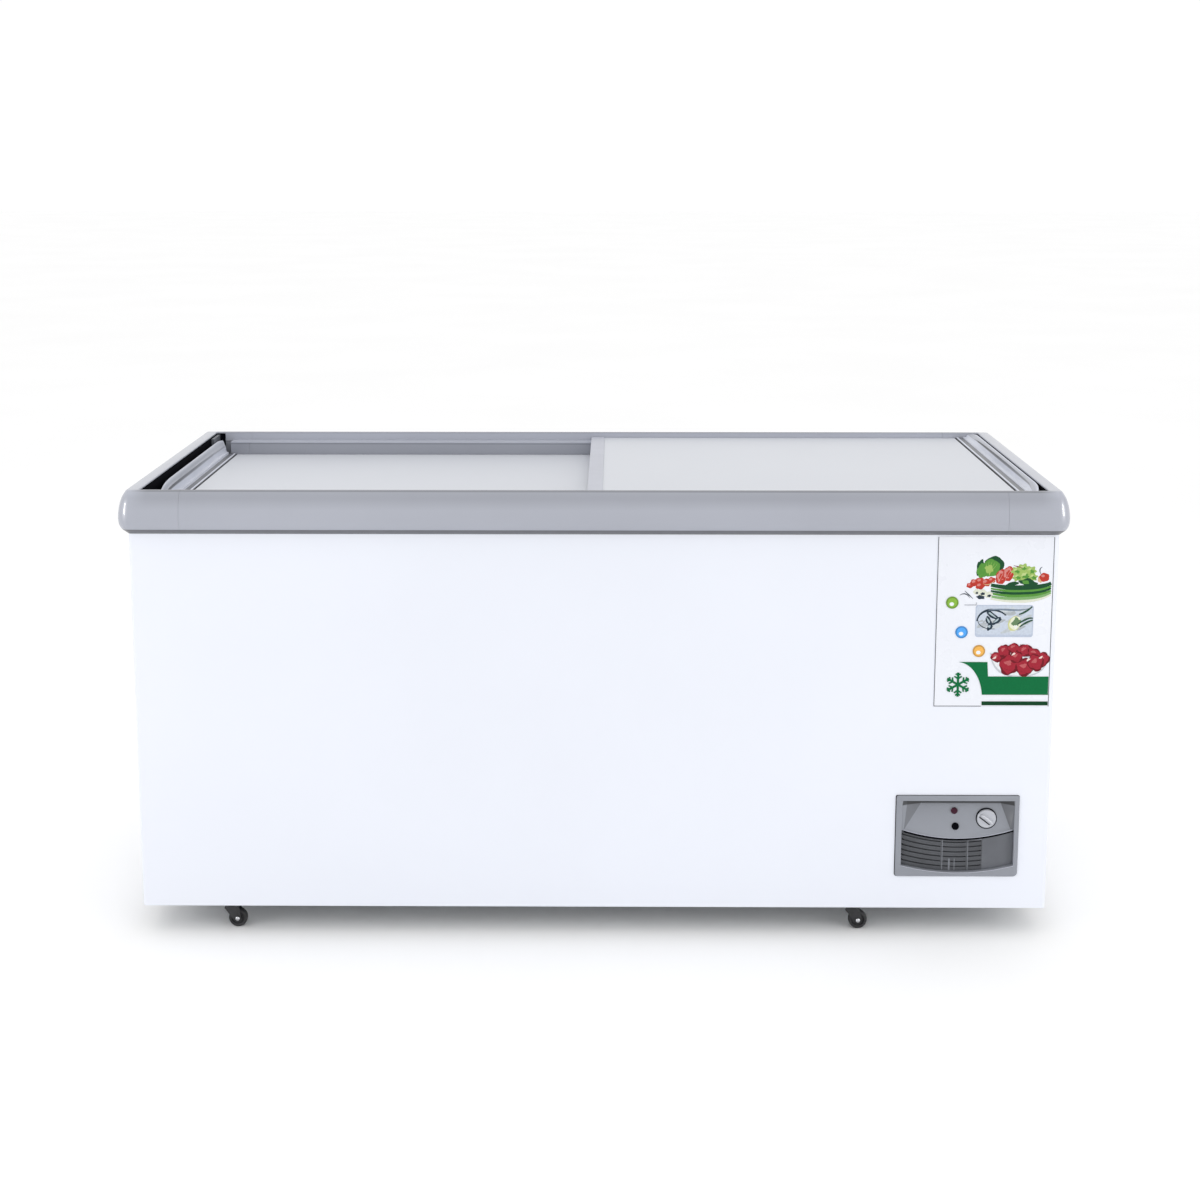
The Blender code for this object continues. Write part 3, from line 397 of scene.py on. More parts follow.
def shade_frame(look):
    """Painted light and shade on the frame moulding: painted shadow on the foot, painted light on the upper
    wall and the ends, painted shade on the ledge, lower wall, long sides and long crests.
    """
    beyond = 2.0  # past any edge of the frame
    crest_y, side_x = 0.3806, 0.906  # inner edge of the long crests, and end of the long sides
    # painted shadow on the foot and underside of the frame, below z 0.8526
    look.shaded(look.band("Z", 0.0, 0.8526, 0.0006), 0.20)
    # bounded in Y only, so it takes in the outer faces of the end mouldings between those places too
    walls = look.band("Y", 0.330, crest_y, 0.0002, mirrored=True)
    sides = look.both(look.band("Y", crest_y, beyond, 0.0004, mirrored=True),
                      look.band("X", -beyond, side_x, 0.016, mirrored=True))
    ends = look.band("X", side_x, beyond, 0.016, mirrored=True)
    # each row: the place, its heights, their softness and the factor; above 1 is painted light, below 1
    # painted shade
    for place, low, high, soft, factor in (
            (walls, 0.9090, 0.9255, 0.0008, 1.13), (walls, 0.9062, 0.9088, 0.0005, 0.66),
            (walls, 0.8520, 0.9088, 0.0006, 0.78), (sides, 0.9040, beyond, 0.0110, 0.83),
            (sides, 0.9272, beyond, 0.0005, 0.62), (ends, 0.9200, beyond, 0.0040, 1.10)):
        look.shaded(look.both(place, look.band("Z", low, high, soft)), factor)


# name, colour, roughness; tones, gloss and grain of its noise; further settings
COATED = (
    ("white_paint", (0.800, 0.826, 0.900), 0.34, (1.6, 0.012), (30, 0.05), (420, 2, 0.10, 0.0002),
     {"Coat_Weight": 0.25, "Coat_Roughness": 0.12}),
    ("grey_frame", (0.378, 0.394, 0.452), 0.36, (3.0, 0.025), (18, 0.05), (900, 2, 0.12, 0.0001),
     {"Coat_Weight": 0.55, "Coat_Roughness": 0.05}),
    ("grey_moulding", (0.290, 0.305, 0.345), 0.40, (9.0, 0.04), (40, 0.06), (1300, 3, 0.25, 0.0001), {}),
    ("light_trim", (0.458, 0.472, 0.538), 0.36, (8.0, 0.03), (35, 0.05), (1100, 2, 0.15, 0.0001), {}),
    ("black_plastic", (0.0022, 0.0024, 0.0045), 0.85, (20.0, 0.30), (60, 0.08), (1500, 3, 0.30, 0.0001),
     {"Specular_IOR_Level": 0.03}),
    ("rubber", (0.022, 0.022, 0.025), 0.80, (30.0, 0.35), (80, 0.08), (900, 4, 0.35, 0.0002), {}),
    ("caster_tyre", (0.016, 0.016, 0.018), 0.62, (60.0, 0.40), (90, 0.10), (1800, 3, 0.30, 0.0001), {}),
    ("grille_plastic", (0.115, 0.122, 0.140), 0.50, (14.0, 0.10), (50, 0.08), (1500, 3, 0.30, 0.0001), {}),
    ("knob_plastic", (0.480, 0.495, 0.540), 0.30, (25.0, 0.03), (60, 0.06), (1600, 2, 0.12, 0.0001),
     {"Coat_Weight": 0.15, "Coat_Roughness": 0.15}),
    ("black_enamel", (0.016, 0.016, 0.018), 0.32, (25.0, 0.30), (40, 0.08), (700, 3, 0.15, 0.0002), {}),
    ("decal_film", (0.800, 0.820, 0.880), 0.28, (6.0, 0.015), (25, 0.04), (160, 2, 0.06, 0.0002),
     {"Coat_Weight": 0.3, "Coat_Roughness": 0.08}),
)


def make_looks():
    """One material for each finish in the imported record."""
    made = {}

    def start(name, *facts, **more):
        made[name] = Look(name, *facts, **more)
        return made[name]

    for name, colour, roughness, tones, gloss, grain, settings in COATED:
        start(name, colour, roughness).tones(*tones).gloss(*gloss).grain(*grain).set(**settings)
    shade_frame(made["grey_frame"])
    grille = made["grille_plastic"]
    # painted shade: the slatted part, left of x 0.7973, is darkened to look shaded; the closed right quarter
    # is not
    grille.shaded(grille.band("X", 0.0, 0.7973, 0.0002), 0.52)

    start("caster_steel", (0.560, 0.570, 0.590), 0.28, 1.0, stretch=(1, 1, 6)).tones(90.0, 0.12)
    made["caster_steel"].gloss(200, 0.10).grain(900, 2, 0.15, 0.0001)
    start("aluminium_fins", (0.700, 0.710, 0.730), 0.34, 1.0, stretch=(8, 8, 0.6)).tones(60.0, 0.10)
    made["aluminium_fins"].gloss(120, 0.10).grain(260, 2, 0.20, 0.0002)
    start("copper", (0.720, 0.360, 0.200), 0.26, 1.0).tones(35.0, 0.16).gloss(90, 0.10)
    made["copper"].grain(500, 2, 0.12, 0.0002)

    zinc = start("galvanised", (0.560, 0.580, 0.600), 0.42, 0.85)
    spangle = zinc.cells(70.0)
    zinc.base = zinc.ramp(spangle.outputs["Color"], [(0.2, (0.46, 0.48, 0.50)), (0.8, (0.66, 0.68, 0.70))])
    zinc.link(zinc.base, zinc.shader.inputs["Base Color"])
    zinc.gloss(45, 0.12).grain(300, 3, 0.12, 0.0002)

    foam = start("foam", (0.760, 0.640, 0.380), 0.92).tones(18.0, 0.10)
    foam.bump(foam.cells(260.0).outputs["Distance"], 0.5, 0.0015).grain(60, 4, 0.3, 0.002)
    liner = start("liner_sheet", (0.800, 0.820, 0.850), 0.36, 0.10).tones(3.0, 0.03).gloss(14, 0.06)
    liner.bump(liner.cells(170.0).outputs["Distance"], 0.55, 0.0008)

    lens = start("red_lens", (0.040, 0.0005, 0.014), 0.30).tones(160.0, 0.25).gloss(120, 0.05)
    lens.set(Specular_IOR_Level=0.25)
    glass = start("lid_glass", (0.658, 0.678, 0.728), 0.34).tones(1.4, 0.012).gloss(5, 0.03)
    glass.set(Alpha=0.94, Specular_IOR_Level=0.30)
    return {name: look.material for name, look in made.items()}


def print_look():
    """Inks of the decal: each shape's own colour, a little mottled."""
    ink = Look("decal_inks", (1.0, 1.0, 1.0), 0.42).tones(240.0, 0.10).painted("tone")
    ink.gloss(40, 0.05).set(Specular_IOR_Level=0.12)
    return ink.material


def moulding_with_painted_shading(name, colour):
    """The moulding's plastic, with the painted light and shade of the piece; on the panel also a painted
    shadow under the top rim.
    """
    look = Look(name, colour, 0.40).tones(9.0, 0.04).painted("tone")
    look.gloss(40, 0.06).grain(1300, 3, 0.25, 0.0001)
    if name == "panel_plastic":
        # painted shadow on the control face just under the top rim
        under_rim_painted_shadow = look.both(look.band("Z", 0.2788, 0.2900, 0.0010),
                              look.band("Y", PANEL_LOW.y + 0.0012, 0.0, 0.0002))
        look.shaded(under_rim_painted_shadow, 0.20)
    return look.material


def smoothing_group():
    """Geometry nodes that weld a carried-over node and shade its shallow angles smooth."""
    group = bpy.data.node_groups.new("shallow_angles_smooth", "GeometryNodeTree")
    for way in ("INPUT", "OUTPUT"):
        group.interface.new_socket("Geometry", in_out=way, socket_type="NodeSocketGeometry")
    kinds = ("NodeGroupInput", "GeometryNodeMergeByDistance", "GeometryNodeSetShadeSmooth",
             "GeometryNodeSetShadeSmooth", "NodeGroupOutput")
    chain = [group.nodes.new(kind) for kind in kinds]
    for before, after in zip(chain, chain[1:]):
        group.links.new(before.outputs[0], after.inputs[0])
    weld, crease = chain[1], chain[3]
    weld.inputs["Distance"].default_value = 1e-5
    crease.domain = "EDGE"
    angle, small = group.nodes.new("GeometryNodeInputMeshEdgeAngle"), group.nodes.new("FunctionNodeCompare")
    small.operation = "LESS_EQUAL"
    small.inputs["B"].default_value = math.radians(33)
    group.links.new(angle.outputs["Unsigned Angle"], small.inputs["A"])
    group.links.new(small.outputs["Result"], crease.inputs["Shade Smooth"])
    return group


def finish_nodes():
    """Every carried-over node gets its material and smooth curves; all but the few kept sharp also get small
    round edges.
    """
    group = smoothing_group()
    kept_sharp = ("outer_shell", "inner_liner", "insulation_foam", "evaporator_coil")
    for part in frame["record"]["subparts"]:
        name = part["node"]
        obj = frame["nodes"][name]
        obj.data.materials.clear()
        obj.data.materials.append(LOOKS[part["material_slot"]])
        change = obj.modifiers.new("shading", "NODES")
        change.node_group = group
        if name not in kept_sharp:
            round_edges(obj, 0.0004)


# --- top frame ---
def outer_curve(shoulder):
    """Section of the frame's outside: chamfer, bulge, and over onto the crest."""
    low, widest, top = (0.0815, -0.0800), (WALL + BULGE, -0.058), (shoulder, 0.0)
    line = [(FLANGE_IN, FRAME_LOW), (WALL + 0.0010, FRAME_LOW), (WALL + 0.0020, FRAME_LOW + 0.0006), low]
    line += bezier(low, (0.0868, -0.0755), (widest[0], -0.0680), widest, 10)
    line += bezier(widest, (widest[0], -0.038), (0.0845, -0.018), (0.0772, -0.0078), 12)
    return line + bezier((0.0772, -0.0078), (0.0736, -0.0028), (shoulder + 0.0040, 0.0), top, 6)


def crest_inside(crest):
    start, edge = (crest + 0.0022, 0.0), (crest, -0.003)
    return [start] + bezier(start, (crest + 0.0008, 0.0), (crest, -0.001), edge, 4)


def closed_section(crest, shoulder, tracks, under):
    """The whole section: outside, crest and tracks, and back on the hidden inside, open underneath."""
    inside = [(crest + SKIN, -0.0035), (0.0685, -0.0045), (0.0835, -0.030), (0.0865, -0.056)]
    inside += [(0.0790, -0.078), (0.0690, -0.085), (FLANGE_IN + 0.001, -0.085)]
    return outer_curve(shoulder) + crest_inside(crest) + tracks + under + inside


def long_section():
    """Closed section of the frame where the lids run."""
    tracks = [(SIDE_CREST, UPPER_TRACK), (TRACK_STEP, UPPER_TRACK), (TRACK_STEP, LOWER_TRACK)]
    tracks += [(0.0, LOWER_TRACK), (0.0, SKIRT_LOW)]
    under = [(SKIN, SKIRT_LOW), (SKIN, LOWER_TRACK - SKIN), (TRACK_STEP + SKIN, LOWER_TRACK - SKIN)]
    under += [(TRACK_STEP + SKIN, UPPER_TRACK - SKIN), (SIDE_CREST + SKIN, UPPER_TRACK - SKIN)]
    return closed_section(SIDE_CREST, SIDE_CREST + 0.0035, tracks, under)


def end_section(crest, shoulder):
    """Closed section of the frame at the end troughs, where the tracks drop to one floor."""
    tracks = [(out, TROUGH_FLOOR) for out in (crest, TRACK_STEP, 0.020, 0.0)] + [(0.0, SKIRT_LOW)]
    under = [(SKIN, SKIRT_LOW)]
    under += [(out, TROUGH_FLOOR - SKIN) for out in (SKIN, 0.020, TRACK_STEP + SKIN, crest + SKIN)]
    return closed_section(crest, shoulder, tracks, under)


def frame_radius(out):
    """Corner radius of the frame, seen from above, at this distance out from the opening."""
    return max(FRAME_CORNER - (WALL + BULGE - out), 0.003)


def straight_station(side, side_y, x, section, before_corner):
    """The section across a long side at x, or a little before the corner starts."""
    loop = []
    for out, z in section:
        corner = OPEN_X + out - frame_radius(out) - before_corner
        loop.append((side * min(x, corner), side_y * (OPEN_Y + out), HEIGHT + z))
    return loop


def corner_station(side, side_y, across, along, turn):
    """A loop of the corner sweep, between a section of the end and its match on the long side."""
    share = math.sin(turn)
    loop = []
    for (out_x, low), (out_y, high) in zip(across, along):
        x = OPEN_X + out_x - frame_radius(out_x) * (1 - math.cos(turn))
        y = OPEN_Y + out_y - frame_radius(out_y) * (1 - math.sin(turn))
        loop.append((side * x, side_y * y, HEIGHT + low + (high - low) * share))
    return loop


def end_frame(side):
    """The moulding round one end: a U, seen from above."""
    long_side, end_side = long_section(), end_section(SIDE_CREST, SIDE_CREST + 0.0035)
    end = end_section(END_CREST, 0.0690)
    turns = [math.radians(90 - 9 * k) for k in range(11)]
    loops = []
    for side_y in (-1, 1):
        half = [straight_station(side, side_y, SEAM_X + SEAM_GAP, long_side, 0)]
        half.append(straight_station(side, side_y, TROUGH_X, long_side, 0.0024))
        half.append(straight_station(side, side_y, TROUGH_X + 0.0012, end_side, 0.0012))
        half += [corner_station(side, side_y, end, end_side, turn) for turn in turns]
        loops += half if side_y < 0 else half[::-1]
    return loft(loops)


def long_rail(side_y):
    outline = [(side_y * (OPEN_Y + out), HEIGHT + z) for out, z in long_section()]
    return prism(outline, "x", -SEAM_X, SEAM_X)


def make_frame():
    made = (("front_rail", long_rail(-1)), ("back_rail", long_rail(1)), ("left_end", end_frame(-1)),
            ("right_end", end_frame(1)))
    for name, moulding in made:
        node = name if name.endswith("rail") else f"{name}_frame"
        piece(f"{name}_moulding", moulding, "grey_frame", nodes=[node], sharp=28)


# --- lid handles ---
# curl: where the front end starts to curl in, how far in and how far down. Heights of the ridge at
# the gasket, the dish's floor, its outer wall and the lip. The dish's middle and half length along y.
# shadow: how dark the painted shadow on the dish's wall is at the back and at the front.
HandleShape = namedtuple("HandleShape", "curl crown dish_floor wall_top lip_top middle half shadow")


def front_curl(y, reach, start):
    """How far a handle has curled in at y: 0 as far as start, and 1 at its front end."""
    return (max(start - y, 0) / (start + reach)) ** 2


def back_round(y, reach):
    """How far a handle's outer edge has come in at y, close to its back end."""
    length, depth = 0.018, 0.010
    beyond = max(y - reach + length, 0) / length
    return depth * (1 - math.sqrt(max(1 - beyond**2, 0)))


def toned(points, tone):
    return [(*point, tone) for point in points]


def ridges(inner, bottom, ridge, groove, crown):
    """The gasket side of a handle: a thin ridge, a wide groove and a second ridge, the ridges painted light
    as highlights and the groove painted dark as shade.
    """
    # painted highlight on the ridges, painted shade in the groove
    low, light, dark = ridge - 0.0015, 1.70, 0.36
    into, out = inner + 0.0038, inner + 0.0160  # where the slopes into and out of the groove start
    line = toned([(inner, bottom), (inner, low)], 0.55)
    line += toned(bezier((inner, low), (inner + 0.0004, ridge), (inner + 0.0006, ridge),
                         (inner + 0.0014, ridge), 3) + [(into, ridge)], light)
    line += toned(bezier((into, ridge), (into + 0.0010, ridge), (into + 0.0008, groove),
                         (into + 0.0016, groove), 4) + [(out, groove)], dark)
    return line + toned(bezier((out, groove), (out + 0.0010, groove), (out + 0.0008, crown - 0.0008),
                               (out + 0.0016, crown), 4) + [(out + 0.0032, crown)], light)


def handle_section(y, reach, inner, out_x, bottom, glass_top, shape):
    """A handle's section at y, from the glass outwards, each point with its tone of painted light and shade.
    """
    (start, depth, fall), crown, dish_floor, wall_top, lip_top, middle, half, shadow = shape
    # tones above 1 are painted light, below 1 painted shade
    dish_painted_light, rim_painted_highlight = 1.60, 1.90
    lens = max(1 - ((y - middle) / half) ** 2, 0)
    curl = front_curl(y, reach, start)
    edge = out_x - depth * curl - back_round(y, reach)
    wall_top, lip_top = wall_top - fall * curl, lip_top - fall * curl
    section = ridges(inner, bottom, glass_top + 0.0025, glass_top + 0.0010, crown)
    base = inner + 0.0202
    room, share = edge - base, 0.34 + 0.24 * math.sqrt(lens)
    floor, foot = crown - lens * (crown - dish_floor), wall_top - 0.003 * lens
    left, right = base + 0.05 * room, base + (share - 0.24) * room
    # painted light on the dish's floor
    section += toned(bezier((base - 0.0010, crown), (base, crown), (base, floor), (left, floor), 5), 1.55)
    section += toned([(right, floor)], dish_painted_light)
    wall = (base + share * room, foot)
    rise = bezier((right, floor), (right + 0.5 * (wall[0] - right), floor),
                  (wall[0] - 0.06 * room, foot - 0.25 * (foot - floor)), wall, 7)
    # painted shadow on the dish's outer wall and its shoulder, darkest in the dish's middle
    back, front = shadow
    dark = 1 - (back + (front - back) * min(max((0.30 - y) / 0.60, 0), 1)) * min(4 * lens, 1)
    section += toned(rise[:-2], dish_painted_light) + toned(rise[-2:], dark)
    shoulder, crest = (base + (share + 0.02) * room, wall_top), (base + 0.86 * room, lip_top)
    section += toned([shoulder], dark) + toned([(shoulder[0] + 0.0004, wall_top + 0.0003)], 1.10)
    slope = bezier(shoulder, (base + 0.70 * room, wall_top + 0.62 * (lip_top - wall_top)),
                   (base + 0.78 * room, lip_top), crest, 7)[1:]
    # painted light up the slope to the lip, growing towards its crest; the lip's rim gets the brightest
    # painted highlight
    section += [(x, z, 1.02 + 0.10 * k) for k, (x, z) in enumerate(slope)]
    section += toned(bezier(crest, (base + 0.94 * room, lip_top), (edge, lip_top - 0.0008),
                            (edge, lip_top - 0.0030), 5), rim_painted_highlight)
    return section + toned([(edge, lip_top - 0.0050), (edge, bottom)], 0.9)


def make_handle(name, side, glass_top, keel_low, shape):
    """Sections along the handle, joined. Between its keel's ends it hangs lower."""
    low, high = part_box(f"{name}_handle")
    reach = high.y
    glass_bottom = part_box(f"{name}_glass")[0].z
    keel = 0.3405 if keel_low < glass_bottom else 0.300
    inner = min(abs(low.x), abs(high.x))
    outer = max(abs(low.x), abs(high.x))
    stations = [(keel * k / 24, keel_low) for k in range(-24, 25)]
    for y in (keel + 0.0006, *(reach - short for short in (0.012, 0.008, 0.005, 0.0025, 0.0010, 0.0))):
        if y > stations[-1][0]:
            stations.append((y, glass_bottom))
            stations.insert(0, (-y, glass_bottom))
    sections = [handle_section(y, reach, inner, outer, bottom, glass_top, shape) for y, bottom in stations]
    loops = [[(side * x, y, z) for x, z, _ in section] for (y, _), section in zip(stations, sections)]
    grip = loft(loops, tones=[[tone for _, _, tone in section] for section in sections])
    piece(f"{name}_grip", grip, "grey_moulding", name, [f"{name}_handle"], sharp=40,
          look=moulding_with_painted_shading(f"{name}_handle_plastic", (0.360, 0.375, 0.425)))


def make_handles():
    lower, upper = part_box("left_lid_glass")[1].z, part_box("right_lid_glass")[1].z
    left = HandleShape(curl=(-0.150, 0.0214, 0.009), crown=lower + 0.006, dish_floor=lower + 0.002,
                       wall_top=HEIGHT - 0.028, lip_top=HEIGHT - 0.015, middle=-0.06, half=0.34,
                       shadow=(0.05, 0.95))
    right = HandleShape(curl=(-0.262, 0.0225, 0.006), crown=upper + 0.0035, dish_floor=upper - 0.0045,
                        wall_top=HEIGHT - 0.004, lip_top=HEIGHT - 0.003, middle=0.0, half=0.31,
                        shadow=(0.92, 0.45))
    make_handle("left_lid", -1, lower, lower - 0.005, left)
    make_handle("right_lid", 1, upper, upper - 0.019, right)


# --- control panel ---
def sagging(height, sag, steps=40, sides=WINDOW_X):
    """Points along a line that hangs in the middle, from left to right."""
    points = []
    for k in range(steps + 1):
        t = k / steps
        points.append((sides[0] + (sides[1] - sides[0]) * t, height - sag * (1 - (2 * t - 1) ** 2)))
    return points


def control_face_y(z):
    """How far forward the sloping control face is at height z."""
    return FRONT_Y + 0.001 + 0.013 * (z - 0.207) / 0.081


def bezel_painted_shade(middle, normal):
    """Painted shade in the slot under the top rim and on the facets beside the control face."""
    if middle.z > 0.2845 and middle.y > PANEL_LOW.y + 0.0015:
        return 0.16
    if 0.198 < middle.z < 0.2845 and middle.y > PANEL_LOW.y + 0.0015:
        if normal.x > 0.12 and middle.x < FACE_LEFT[-1][0]:
            return 0.62 if middle.x > 0.6430 else 0.96
        if normal.x < -0.12 and middle.x > FACE_RIGHT[-1][0]:
            return 0.50
    return 1.0


def panel_outline(inset, radii):
    """The bezel's rectangle with round corners, this far inside its edge."""
    x0, x1, z0, z1 = PANEL_LOW.x, PANEL_HIGH.x, PANEL_LOW.z, PANEL_HIGH.z
    return rounded(x0 + inset, x1 - inset, z0 + inset, z1 - inset, radii)


def make_bezel():
    front, back = PANEL_LOW.y, PANEL_HIGH.y
    flange_back = FRONT_Y - SEAM_GAP
    loops = []
    for inset, y in ((0.0022, front), (0.0008, front + 0.0004), (0.0, front + 0.0014), (0.0, flange_back)):
        loops.append(upright(panel_outline(inset, [max(r - inset, 0.001) for r in PANEL_CORNERS]), y))
    loops += [upright(panel_outline(0.004, [0.003] * 4), y) for y in (flange_back, back)]
    near = FRONT_Y - 0.02
    wx0, wx1 = WINDOW_X
    pocket = [(x, y, z) for x in (wx0, wx1) for y in (near, front) for z in (0.198, 0.289)]
    pocket.append((wx0 + 0.0115, FRONT_Y + 0.002, 0.288))
    pocket += [(x, control_face_y(z), z) for x, z in FACE_LEFT + FACE_RIGHT]
    window = sagging(*WINDOW_BOTTOM) + sagging(*WINDOW_TOP)[::-1]
    cutters = [hull(pocket), prism(window, "y", near, back + 0.01)]
    slot = (FACE_LEFT[-1][0] + 0.004, FACE_RIGHT[-1][0] - 0.004)
    cutters.append(block((slot[0], near, 0.2858), (slot[1], control_face_y(0.288) + 0.012, 0.2886)))
    for (x, z), radius in ((KNOB_AT, 0.0040), (BUTTON_AT, 0.0076), (LAMP_AT, 0.0062)):
        cutters.append(turned([(radius, near), (radius, back + 0.01)], (x, z), "y", 40))
    well = control_face_y(KNOB_AT[1] + KNOB_WELL_R)
    cutters.append(turned([(KNOB_WELL_R, near), (KNOB_WELL_R, well)], KNOB_AT, "y", 64))
    bezel = carved(loft(loops), cutters)
    # painted shade on the bezel's faces, kept in the tone layer
    layer = bezel.loops.layers.float_color.new("tone")
    for face in bezel.faces:
        tone = bezel_painted_shade(face.calc_center_median(), face.normal)
        for corner in face.loops:
            corner[layer] = (tone, tone, tone, 1.0)
    piece("panel_bezel_moulding", bezel, "grey_moulding", nodes=["panel_bezel"], bevel=0.0005,
          look=moulding_with_painted_shading("panel_plastic", (0.262, 0.276, 0.312)))


def make_window_edges():
    """Lips over and under the window, lighter as painted highlights, a black strip as painted shadow under
    the upper one, and a dark rubber ring round the bezel as its painted shadow line.
    """
    # real lips in the light trim plastic, whose lighter colour is a painted highlight along the window's
    # edges
    for name, line, rise in (("upper", WINDOW_TOP, 0.0), ("lower", WINDOW_BOTTOM, -0.0014)):
        strip = [(x, z + rise) for x, z in sagging(*line)]
        strip += [(x, z + 0.0012) for x, z in strip[::-1]]
        depth = control_face_y(WINDOW_TOP[0]) if name == "upper" else PANEL_LOW.y + 0.003
        lip = prism(strip, "y", depth - 0.004, depth + 0.004)
        piece(f"panel_window_{name}_lip", lip, "light_trim", bevel=0.0004)
    # a black strip under the upper lip as its painted shadow
    shade_line = sagging(*WINDOW_TOP)
    shade_line += [(x, z - 0.0052) for x, z in shade_line[::-1]]
    shadow_strip = prism(shade_line[1:-1], "y", FRONT_Y + 0.0040, FRONT_Y + 0.0048)
    piece("panel_window_painted_shadow", shadow_strip, "black_plastic")
    # a dark rubber ring round the bezel as its painted shadow line, widest on the left
    outer = rounded(PANEL_LOW.x - 0.0015, PANEL_HIGH.x + 0.0005, PANEL_LOW.z - 0.0005, PANEL_HIGH.z + 0.0005,
                    PANEL_CORNERS)
    inner = panel_outline(0.0001, PANEL_CORNERS)
    near, far = FRONT_Y - 0.0008, FRONT_Y - 0.0001
    rings = [upright(points, y) for points, y in ((outer, near), (outer, far), (inner, far), (inner, near))]
    piece("panel_shadow_ring", loft(rings, ring=True), "rubber")


def make_grille():
    """Sagging slats and upright ribs of one moulding, its right quarter closed."""
    inset, slots, slat = 0.0006, 6, 0.0080
    y_front, y_back = GRILLE_LOW.y, GRILLE_HIGH.y
    sides = (WINDOW_X[0] + inset, WINDOW_X[1] - inset)
    bars = []
    for k in range(slots + 1):
        t = k / slots
        low, high = WINDOW_BOTTOM[0] + inset + slat, WINDOW_TOP[0] - inset
        height, sag = low + (high - low) * t, WINDOW_BOTTOM[1] + (WINDOW_TOP[1] - WINDOW_BOTTOM[1]) * t
        upper = sagging(height, sag, 44, sides)
        bars.append((upper, [(x, z - slat) for x, z in upper]))
    plate = prism(bars[-1][0] + bars[0][1][::-1], "y", y_front, y_back)
    cutters = []
    for (low, _), (_, high) in zip(bars, bars[1:]):
        for first, last in ((0, 16), (16, 26), (26, 32)):
            cell = [low[i] for i in range(first, last + 1)] + [high[i] for i in range(last, first - 1, -1)]
            cell = [(min(max(x, low[first][0] + 0.0013), low[last][0] - 0.0013), z) for x, z in cell]
            cutters.append(prism(cell, "y", y_front - 0.01, y_back + 0.01))
    slats = carved(plate, cutters)
    piece("panel_grille_slats", slats, "grille_plastic", nodes=["panel_grille"], bevel=0.0003)
    near = y_front - 0.0002
    ribs = ((0.7150, 0.0016, 0.1375, 0.2055), (0.7671, 0.0016, 0.1385, 0.2055),
            (0.7284, 0.0036, 0.1372, 0.1626), (0.7402, 0.0016, 0.1366, 0.1626),
            (0.7680, 0.0289, 0.2024, 0.2060))  # left side, width, foot and top
    blocks = [block((x, near - 0.0005, low), (x + width, near, high)) for x, width, low, high in ribs]
    piece("panel_grille_ribs", merged(blocks), "grey_moulding",
          look=Look("rib_plastic", (0.165, 0.172, 0.195), 0.50).tones(14.0, 0.08).material)
    back = bars[-1][0][1:-1] + bars[0][1][1:-1][::-1]
    piece("panel_grille_backing", prism(back, "y", y_front + 0.0040, y_front + 0.0048), "grille_plastic")


def make_knob():
    """A cap with a pointer bar, a black strip beside the bar as its painted shadow, and a black ring in its
    well as painted shade.
    """
    x, z = KNOB_AT
    floor = control_face_y(z + KNOB_WELL_R)
    low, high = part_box("control_knob")
    foot, face = floor - 0.0006, floor - 0.0086
    radius = (high.x - low.x) / 2
    profile = [(0.0030, high.y), (0.0030, foot), (radius, foot), (radius, face + 0.0026)]
    profile += [(radius - 0.0006, face + 0.0012), (radius - 0.0018, face + 0.0003), (radius - 0.0034, face)]
    profile += [(radius - 0.0060, face + 0.0004)]
    cap = turned(profile, KNOB_AT, "y", 96)
    lean = math.radians(-38)
    along = Vector((math.cos(lean), 0, math.sin(lean)))
    across = Vector((-math.sin(lean), 0, math.cos(lean)))
    loops = []
    levels = ((0.0168, 0.0046, face + 0.002), (0.0164, 0.0040, face - 0.002), (0.0158, 0.0028, face - 0.0046),
              (0.0150, 0.0018, low.y + 0.0002), (0.0146, 0.0010, low.y))
    for length, width, y in levels:
        loop = []
        for k in range(24):
            turn = math.tau * k / 24
            a = math.copysign(abs(math.cos(turn)) ** 0.5, math.cos(turn)) * length
            b = math.copysign(abs(math.sin(turn)) ** 0.7, math.sin(turn)) * width
            spot = Vector((x, 0, z)) + along * a + across * b
            loop.append((spot.x, y, spot.z))
        loops.append(loop)
    knob = carved(cap, additions=[loft(loops)])
    piece("thermostat_knob", knob, "knob_plastic", "knob", ["control_knob"], bevel=0.0003)
    # a black ring on the well's floor, as painted shade in the gap round the cap
    outer, inner, top, dish = KNOB_WELL_R - 0.0001, KNOB_WELL_R - 0.0018, floor - 0.0036, floor - 0.0004
    ring = [(outer, floor - 0.0002), (outer, top), (inner, top), (inner, dish), (0.0060, dish)]
    ring.append((0.0060, floor - 0.0002))
    # a black strip along the pointer bar's lower side, as its painted shadow
    line = [Vector((x, 0, z)) + along * a - across * b for a, b in
            ((-0.0155, 0.0050), (0.0125, 0.0050), (0.0120, 0.0068), (-0.0148, 0.0068))]
    strip = prism([(spot.x, spot.z) for spot in line], "y", face - 0.0006, face - 0.0001)
    piece("thermostat_pointer_shadow", strip, "black_plastic", "knob")
    piece("thermostat_well_shade_ring", turned(ring, KNOB_AT, "y", 96, ring=True), "black_plastic")


